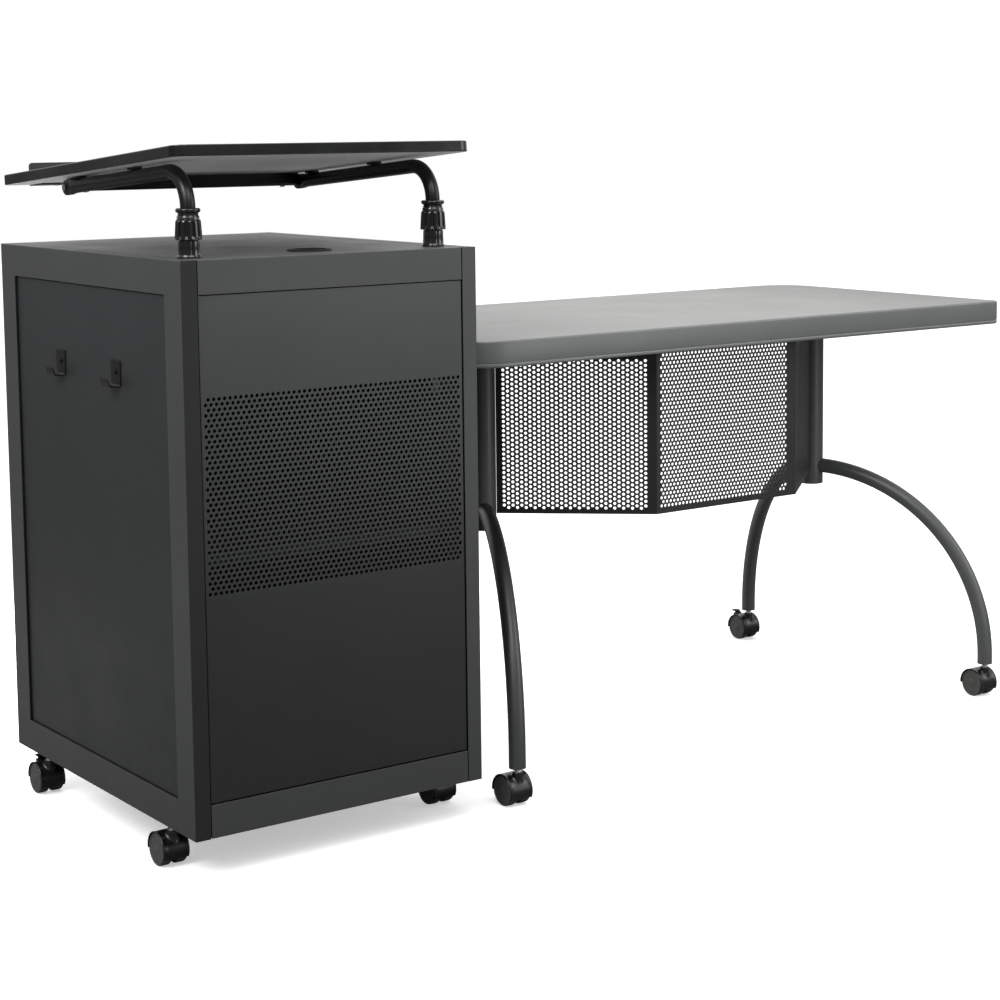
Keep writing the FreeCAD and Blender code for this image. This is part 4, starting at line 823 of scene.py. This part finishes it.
def tube_sections():
    """(y, z, heading y, heading z, half width in x, half depth, superellipse power)."""
    start_y = POSTS["left"][1]
    _, pivot_y, pivot_z = layout_centre("pivot_screws")
    full = (TUBE_RADIUS, TUBE_RADIUS, 2.0)
    sections = [(start_y, TUBE_BOTTOM + (BEND_START_Z - TUBE_BOTTOM) * k / 5, 0.0, 1.0, *full)
                for k in range(5)]
    for k in range(25):
        turn = math.radians(90 + TILT_DEGREES) * k / 24
        y = start_y + NECK_RADIUS - NECK_RADIUS * math.cos(turn)
        z = BEND_START_Z + NECK_RADIUS * math.sin(turn)
        sections.append((y, z, math.sin(turn), math.cos(turn), *full))
    tilt = math.radians(TILT_DEGREES)
    ty, tz = math.cos(tilt), -math.sin(tilt)
    length = (pivot_y - y) * ty + (pivot_z - z) * tz
    # the pivot lies a little off the arm's line, so the arm eases over to it
    offset = -(pivot_y - y) * tz + (pivot_z - z) * ty
    marks = [length * share for share in ARM_SHARES] + [length - d for d in ARM_ENDINGS]
    for mark in sorted(m for m in marks if m > 2):
        flat = 1 - smooth(13.5, 34.0, length - mark)
        ease = smooth(0.0, 1.0, mark / length)
        sections.append((y + ty * mark - tz * offset * ease, z + tz * mark + ty * offset * ease,
                         ty, tz, TUBE_RADIUS + (EYE_HALF_THICK - TUBE_RADIUS) * flat,
                         TUBE_RADIUS + (EYE_RADIUS - TUBE_RADIUS) * smooth(0.25, 1.0, flat),
                         2.0 + 3.0 * flat))
    # round end of the eye
    for degrees in (15, 30, 45, 58, 70, 80, 86, 90):
        half_depth, reach = arc_point(EYE_RADIUS, degrees)
        thinning = 0.0 if degrees < 80 else 1.2 * (degrees - 80) / 10
        sections.append((pivot_y + ty * reach, pivot_z + tz * reach, ty, tz,
                         EYE_HALF_THICK - thinning, max(0.5, half_depth),
                         5.0 if degrees < 70 else 3.0))
    return sections


def superellipse(half_x, half_depth, power, k):
    angle = 2 * math.pi * k / TUBE_SEGMENTS
    c, s = math.cos(angle), math.sin(angle)
    e = 2.0 / power
    return (half_x * math.copysign(abs(c) ** e, c),
            half_depth * math.copysign(abs(s) ** e, s))


def goose_neck(side, post_x):
    shell, rings = Shell(), []
    for y, z, ty, tz, half_x, half_depth, power in tube_sections():
        ring = [superellipse(half_x, half_depth, power, k) for k in range(TUBE_SEGMENTS)]
        rings.append(shell.add([(post_x + dx, y - tz * dn, z + ty * dn) for dx, dn in ring]))
    for ring, following in zip(rings, rings[1:]):
        shell.skin(ring, following)
    shell.cap(rings[0], rings[-1])
    add_piece("goose_neck_" + side, shell, "tube_paint", "board_carriage",
              "support_tube_" + side, sharp=50)


for side, (x, y) in POSTS.items():
    goose_neck(side, x)

# ------------------------------------------------------------------ coat hooks
HOOK_WIDTH, HOOK_THICK = 32.0, 1.6
HOOK_FOLD_RADIUS, LIP_FOLD_RADIUS = 3.2, 3.0   # of the strip's middle line
LIP_FOLD_X = 8.0                               # lip fold's start, from the hooks' left
LIP_DEGREES, LIP_LENGTH = 72, 11.5
HOOK_TAPER = 2.0                               # narrowing of each side below the top


def coat_hooks():
    """Two folded strips: down the right, left along the bottom and up in a leaning lip."""
    (left, y0, bottom), (right, y1, top) = layout_box("coat_hooks")
    plate_x, floor_z = right - HOOK_THICK / 2, bottom + HOOK_THICK / 2
    fold, lip_fold = HOOK_FOLD_RADIUS, LIP_FOLD_RADIUS
    path = [(plate_x, top), (plate_x, floor_z + fold)]
    for degrees in range(10, 91, 16):
        angle = math.radians(degrees)
        path.append((plate_x - fold * (1 - math.cos(angle)),
                     floor_z + fold - fold * math.sin(angle)))
    path.append((left + LIP_FOLD_X, floor_z))
    for degrees in range(12, 73, 12):
        angle = math.radians(degrees)
        path.append((left + LIP_FOLD_X - lip_fold * math.sin(angle),
                     floor_z + lip_fold * (1 - math.cos(angle))))
    lip_x, lip_z = path[-1]
    run, rise = arc_point(LIP_LENGTH, LIP_DEGREES)
    path.append((lip_x - run, lip_z + rise))

    shell = Shell()
    for start_y in (y1 - HOOK_WIDTH, y0):
        rings = []
        for i, place in enumerate(path):
            before, after = Vector(path[max(0, i - 1)]), Vector(path[min(len(path) - 1, i + 1)])
            heading = (after - before).normalized()
            normal = Vector((-heading.y, heading.x))
            inset = HOOK_TAPER * min(i, 6) / 6
            near, far = start_y + inset, start_y + HOOK_WIDTH - inset
            ring = []
            for sign, y in ((1, near), (1, far), (-1, far), (-1, near)):
                p = Vector(place) + normal * sign * HOOK_THICK / 2
                ring.append((max(left, p.x), y, p.y))
            rings.append(shell.add(ring))
        for ring, following in zip(rings, rings[1:]):
            shell.skin(ring, following)
        shell.cap(rings[0], rings[-1])
    add_piece("folded_hooks", shell, "hook_paint", "base", "coat_hooks", sharp=28)


coat_hooks()

# ------------------------------------------------------------------ casters
# A hood's own frame has the stem axis at x = y = 0 and the floor at z = 0.
AXLE_Y, AXLE_Z = 15.0, 25.0
AXLE_RADIUS = 3.0
WHEEL_INNER_X = 4.4
WHEEL_SEGMENTS = 72
# left half of the hood's section: x, radius from the axle
HOOD_HALF = [(-21.6, 26.0), (-21.6, 26.9), (-21.3, 27.6), (-20.7, 28.0), (-19.6, 28.0),
             (-19.0, 27.75), (-18.4, 27.4), (-12, 27.6), (-6, 27.7), (0, 27.75)]
HOOD_SECTION = HOOD_HALF + [(-x, r) for x, r in reversed(HOOD_HALF[:-1])]
HOOD_SECTION += [(20.9, 26.0), (-20.9, 26.0)]
HOOD_START, HOOD_END, HOOD_STEPS = -6.9, 205.4, 44      # degrees round the axle
HOOD_END_PULL = {0: 0.55, 1: 0.12}                      # shrink by steps from an end
# web between the wheels: x, scale about the axle
WEB_SECTIONS = ((-4, 0.985), (-3.5, 1.0), (3.5, 1.0), (4, 0.985))
# boss round the stem: r, z
BOSS = ((3.1, 57.0), (7.9, 57.0), (8.4, 56.6), (8.5, 56.0), (8.5, 50.0), (9.0, 47.5),
        (10.4, 45.0), (12.8, 42.5))
# one wheel: radius from the axle, distance out from the caster's middle
WHEEL = ((AXLE_RADIUS, WHEEL_INNER_X), (22.4, WHEEL_INNER_X), (23.8, 4.8), (24.7, 5.8),
         (25.0, 7.4), (25.0, 16.4), (24.8, 18.4), (24.3, 19.7), (23.7, 20.5), (23.1, 20.9),
         (22.6, 21.0), (22.1, 20.9), (21.8, 20.5), (21.6, 20.0), (15.0, 20.05), (8.0, 20.15),
         (6.9, 20.2), (6.6, 20.5), (6.2, 20.8), (5.0, 20.9), (0.0, 20.95))


def add_hood_arch(shell):
    rings = []
    for k in range(HOOD_STEPS + 1):
        angle = math.radians(HOOD_START + (HOOD_END - HOOD_START) * k / HOOD_STEPS)
        pull = HOOD_END_PULL.get(min(k, HOOD_STEPS - k), 0.0)
        ring = []
        for x, r in HOOD_SECTION:
            r -= pull * (1 if r > 26.5 else -0.2)
            ring.append(Vector((x * (1 - 0.012 * pull), AXLE_Y + r * math.cos(angle),
                                AXLE_Z + r * math.sin(angle))))
        rings.append(shell.add(ring))
    for ring, following in zip(rings, rings[1:]):
        shell.skin(ring, following)
    shell.cap(rings[0], rings[-1])


def add_hood_web(shell):
    """Disc between the wheels, cut flat below."""
    outline = [arc_point(26.3, degrees) for degrees in range(-30, 211, 6)]
    outline = [(AXLE_Y + y, max(AXLE_Z + z, 11.9)) for y, z in outline]
    web = [shell.add([Vector((x, AXLE_Y + (y - AXLE_Y) * scale, AXLE_Z + (z - AXLE_Z) * scale))
                      for y, z in outline]) for x, scale in WEB_SECTIONS]
    for ring, following in zip(web, web[1:]):
        shell.skin(ring, following)
    shell.faces += [web[0][::-1], web[-1]]


def add_hood_boss(shell):
    """Boss round the stem; its flared foot follows the hood's curve."""
    boss = lathe(BOSS, segments=48, closed=False)
    foot_z = BOSS[-1][1]
    for i, p in enumerate(boss.points):
        if math.hypot(p.x, p.y) > 8.6:
            dy = p.y - AXLE_Y
            surface = AXLE_Z + math.sqrt(max(0.0, 27.2 ** 2 - dy * dy))
            boss.points[i] = Vector((p.x, p.y, surface + (p.z - foot_z) * 0.45))
    shell.join(boss, Vector)


def add_hood_lugs(shell):
    """Two round-ended plates standing off the hood at 50 degrees."""
    c, s = arc_point(1.0, 50)
    outline = []
    for degrees in range(-50, 151, 20):
        y, z = arc_point(3.4, degrees)
        outline.append((AXLE_Y + 31.3 * c + y, AXLE_Z + 31.3 * s + z))
    outline += [(AXLE_Y + 27.0 * c - 3.6 * s, AXLE_Z + 27.0 * s + 3.6 * c),
                (AXLE_Y + 27.0 * c + 3.4 * s, AXLE_Z + 27.0 * s - 3.4 * c)]
    mid_y, mid_z = (sum(values) / len(outline) for values in zip(*outline))
    outline.sort(key=lambda p: math.atan2(p[1] - mid_z, p[0] - mid_y))
    for start_x in (6.5, -8.5):
        left, right = (shell.add([Vector((x, y, z)) for y, z in outline])
                       for x in (start_x, start_x + 2.0))
        shell.skin(left, right, flip=True)
        shell.faces += [left[::-1], right]


def caster_hood(name, x, y, z):
    hood = Shell()
    add_hood_arch(hood)
    add_hood_web(hood)
    add_hood_boss(hood)
    if "brake_lever_" + name in nodes:
        add_hood_lugs(hood)
    shell = Shell()
    shell.join(hood, lambda p: (x + p.x, y - AXLE_Y + p.y, z - AXLE_Z + p.z))
    add_piece("caster_hood_" + name, shell, "hood_plastic", "fork_" + name,
              "caster_housing_" + name, sharp=34,
              origin=(x, y - AXLE_Y, 30))


def caster_wheels(name, x, y, z):
    """Two mirrored wheels and the axle between them."""
    wheel = lathe(WHEEL, WHEEL_SEGMENTS, closed=False)
    shell = Shell()
    for sign in (1, -1):
        shell.join(wheel, lambda p: (x + sign * p.z, y + p.x, z + p.y))
    turns = [2 * math.pi * k / WHEEL_SEGMENTS for k in range(WHEEL_SEGMENTS)]
    left, right = (shell.add([(x + end, y + AXLE_RADIUS * math.cos(a),
                               z + AXLE_RADIUS * math.sin(a)) for a in turns])
                   for end in (-WHEEL_INNER_X, WHEEL_INNER_X))
    shell.skin(left, right)
    add_piece("caster_wheel_pair_" + name, shell, "wheel_plastic", "wheels_" + name,
              "caster_wheels_" + name, sharp=34, origin=(x, y, z))


HOUSING = "caster_housing_"
for name in [node[len(HOUSING):] for node in sorted(nodes) if node.startswith(HOUSING)]:
    centre = layout_centre("caster_wheels_" + name)
    caster_hood(name, *centre)
    caster_wheels(name, *centre)

# ------------------------------------------------------------------ camera
CAMERA_PLACE = (-1.38946, -2.75689, 1.10027)   # metres from the layout corner
AZIMUTH, DIP, ROLL = -0.62752, 0.10847, -0.00957        # radians

forward = Vector((-math.sin(AZIMUTH) * math.cos(DIP), math.cos(AZIMUTH) * math.cos(DIP),
                  -math.sin(DIP)))


def add_camera():
    data = bpy.data.cameras.new("photo_camera")
    camera = bpy.data.objects.new("photo_camera", data)
    scene.collection.objects.link(camera)
    level = Vector((math.cos(AZIMUTH), math.sin(AZIMUTH), 0.0))
    upright = level.cross(forward)
    right = level * math.cos(ROLL) + upright * math.sin(ROLL)
    up = upright * math.cos(ROLL) - level * math.sin(ROLL)
    x, y, z = CAMERA_PLACE
    place = Matrix.Translation(Vector((x + corner_x, y + corner_y, z)))
    camera.matrix_world = place @ Matrix((right, up, -forward)).transposed().to_4x4()
    data.sensor_width = 36.0
    data.lens = 77.5872
    data.shift_x, data.shift_y = -0.03, -0.14
    data.clip_start, data.clip_end = 0.05, 60.0
    scene.camera = camera


add_camera()


# ------------------------------------------------------------------ floor
def floor_material():
    """Pale to the camera, dim to every other ray so that little light comes back up."""
    material, tree, surface = principled("studio_floor")
    coords = tree.add("TexCoord").outputs["Object"]
    patches = tree.remap(tree.noise(coords, scale=3.0, detail=3.0), (0.3, 0.7))
    rough = tree.noise(coords, scale=18.0, detail=3.0)
    tree.feed(surface, {
        "Base Color": tree.mix(patches, (0.86, 0.86, 0.855), (0.90, 0.90, 0.895)),
        "Roughness": tree.remap(rough, (0.3, 0.7), to=(0.72, 0.86)),
        "Specular IOR Level": 0.2,
    })
    rays = tree.add("LightPath")
    dim = tree.add("BsdfDiffuse", {"Color": (0.16, 0.16, 0.16, 1.0)})
    lift = tree.add("Emission", {"Color": (1.0, 1.0, 1.0, 1.0), "Strength": 0.42})
    seen = tree.add("AddShader", {0: surface.outputs[0], 1: lift.outputs[0]})
    switch = tree.add("MixShader", {"Fac": rays.outputs["Is Camera Ray"],
                                    1: dim.outputs[0], 2: seen.outputs[0]})
    tree.feed(tree.output, {"Surface": switch.outputs[0]})
    return material


def add_floor():
    mesh = bpy.data.meshes.new("studio_floor")
    bm = bmesh.new()
    bmesh.ops.create_grid(bm, x_segments=24, y_segments=24, size=14.0)
    bm.to_mesh(mesh)
    bm.free()
    floor = bpy.data.objects.new("studio_floor", mesh)
    scene.collection.objects.link(floor)
    mesh.materials.append(floor_material())


add_floor()

# ------------------------------------------------------------------ world
SKY_ENDS = (0.06, 1.05)                        # grey straight down and straight up
# ramp position (0.5 is the horizon), grey
SKY_STOPS = ((0.49, 0.10), (0.53, 0.22), (0.62, 0.46), (0.76, 0.85))


def add_world():
    """White to the camera; a graded sky with a bright backdrop to every other ray."""
    world = bpy.data.worlds.new("studio")
    scene.world = world
    tree = Tree(world, "OutputWorld")
    white = tree.add("Background", {"Color": (1.0, 1.0, 1.0, 1.0), "Strength": 1.0})
    direction = tree.add("TexCoord").outputs["Generated"]
    height = tree.axis(direction, "Z")
    ramp = tree.add("ValToRGB", {"Fac": tree.remap(height, (-1.0, 1.0))})
    stops = ramp.color_ramp.elements
    for i, grey in enumerate(SKY_ENDS):
        stops[i].position = float(i)
        stops[i].color = (grey, grey, grey, 1)
    for position, grey in SKY_STOPS:
        stops.new(position).color = (grey, grey * 1.005, grey * 1.01, 1)
    # the backdrop stands behind the object, so the far side is bright down to the horizon
    behind = tree.remap(tree.dot(direction, (forward.x, forward.y, 0.0)), (0.15, 0.75))
    above = tree.remap(height, (-0.02, 0.05))
    glow = tree.math("MULTIPLY", behind, above)
    color = tree.mix(glow, ramp.outputs["Color"], (0.95, 0.95, 0.95))
    around = tree.add("Background", {"Color": color, "Strength": 1.0})
    rays = tree.add("LightPath")
    switch = tree.add("MixShader", {"Fac": rays.outputs["Is Camera Ray"],
                                    1: around.outputs[0], 2: white.outputs[0]})
    tree.feed(tree.output, {"Surface": switch.outputs[0]})


add_world()


# ------------------------------------------------------------------ lights
def add_sun():
    data = bpy.data.lights.new("overhead_soft", "SUN")
    data.energy = 0.55
    data.angle = math.radians(70)
    sun = bpy.data.objects.new("overhead_soft", data)
    sun.location = (0, 0, 4)
    sun.rotation_euler = (math.radians(18), math.radians(-14), 0)
    scene.collection.objects.link(sun)


def add_softbox(name, place, aim, size, power, color=(1, 1, 1), size_y=None):
    data = bpy.data.lights.new(name, "AREA")
    data.shape = "RECTANGLE"
    data.size = size
    data.size_y = size_y or size
    data.energy = power
    data.color = color
    light = bpy.data.objects.new(name, data)
    light.location = place
    light.rotation_mode = "QUATERNION"
    light.rotation_quaternion = (Vector(aim) - Vector(place)).to_track_quat("-Z", "Y")
    light.visible_camera = False
    scene.collection.objects.link(light)
    return light


add_sun()
add_softbox("key_softbox", place=(-2.9, -1.1, 2.7), aim=(-0.3, 0.0, 0.5), size=1.5,
            power=74.0, color=(0.985, 0.99, 1.0))
add_softbox("fill_softbox", place=(2.6, -2.6, 1.9), aim=(0.5, 0.0, 0.4), size=1.8,
            power=34.0, color=(0.97, 0.985, 1.0))
add_softbox("near_front_softbox", place=(-0.70, -1.40, 1.90), aim=(-0.60, -0.3, 0.90),
            size=0.9, power=10.0, color=(0.97, 0.99, 1.0))
add_softbox("low_front_softbox", place=(1.0, -2.3, 0.38), aim=(0.7, 0.3, 0.35), size=1.2,
            size_y=0.6, power=5.0)
rear_low = add_softbox("rear_low_softbox", place=(-0.55, 1.9, 0.50), aim=(-0.6, 0.0, 1.05),
                       size=1.1, size_y=0.7, power=48.0)
rear_low.visible_glossy = False
add_softbox("top_softbox", place=(0.2, 0.6, 3.4), aim=(0.1, 0.0, 0.6), size=2.4, power=45.0)
scene.view_settings.view_transform = "Standard"
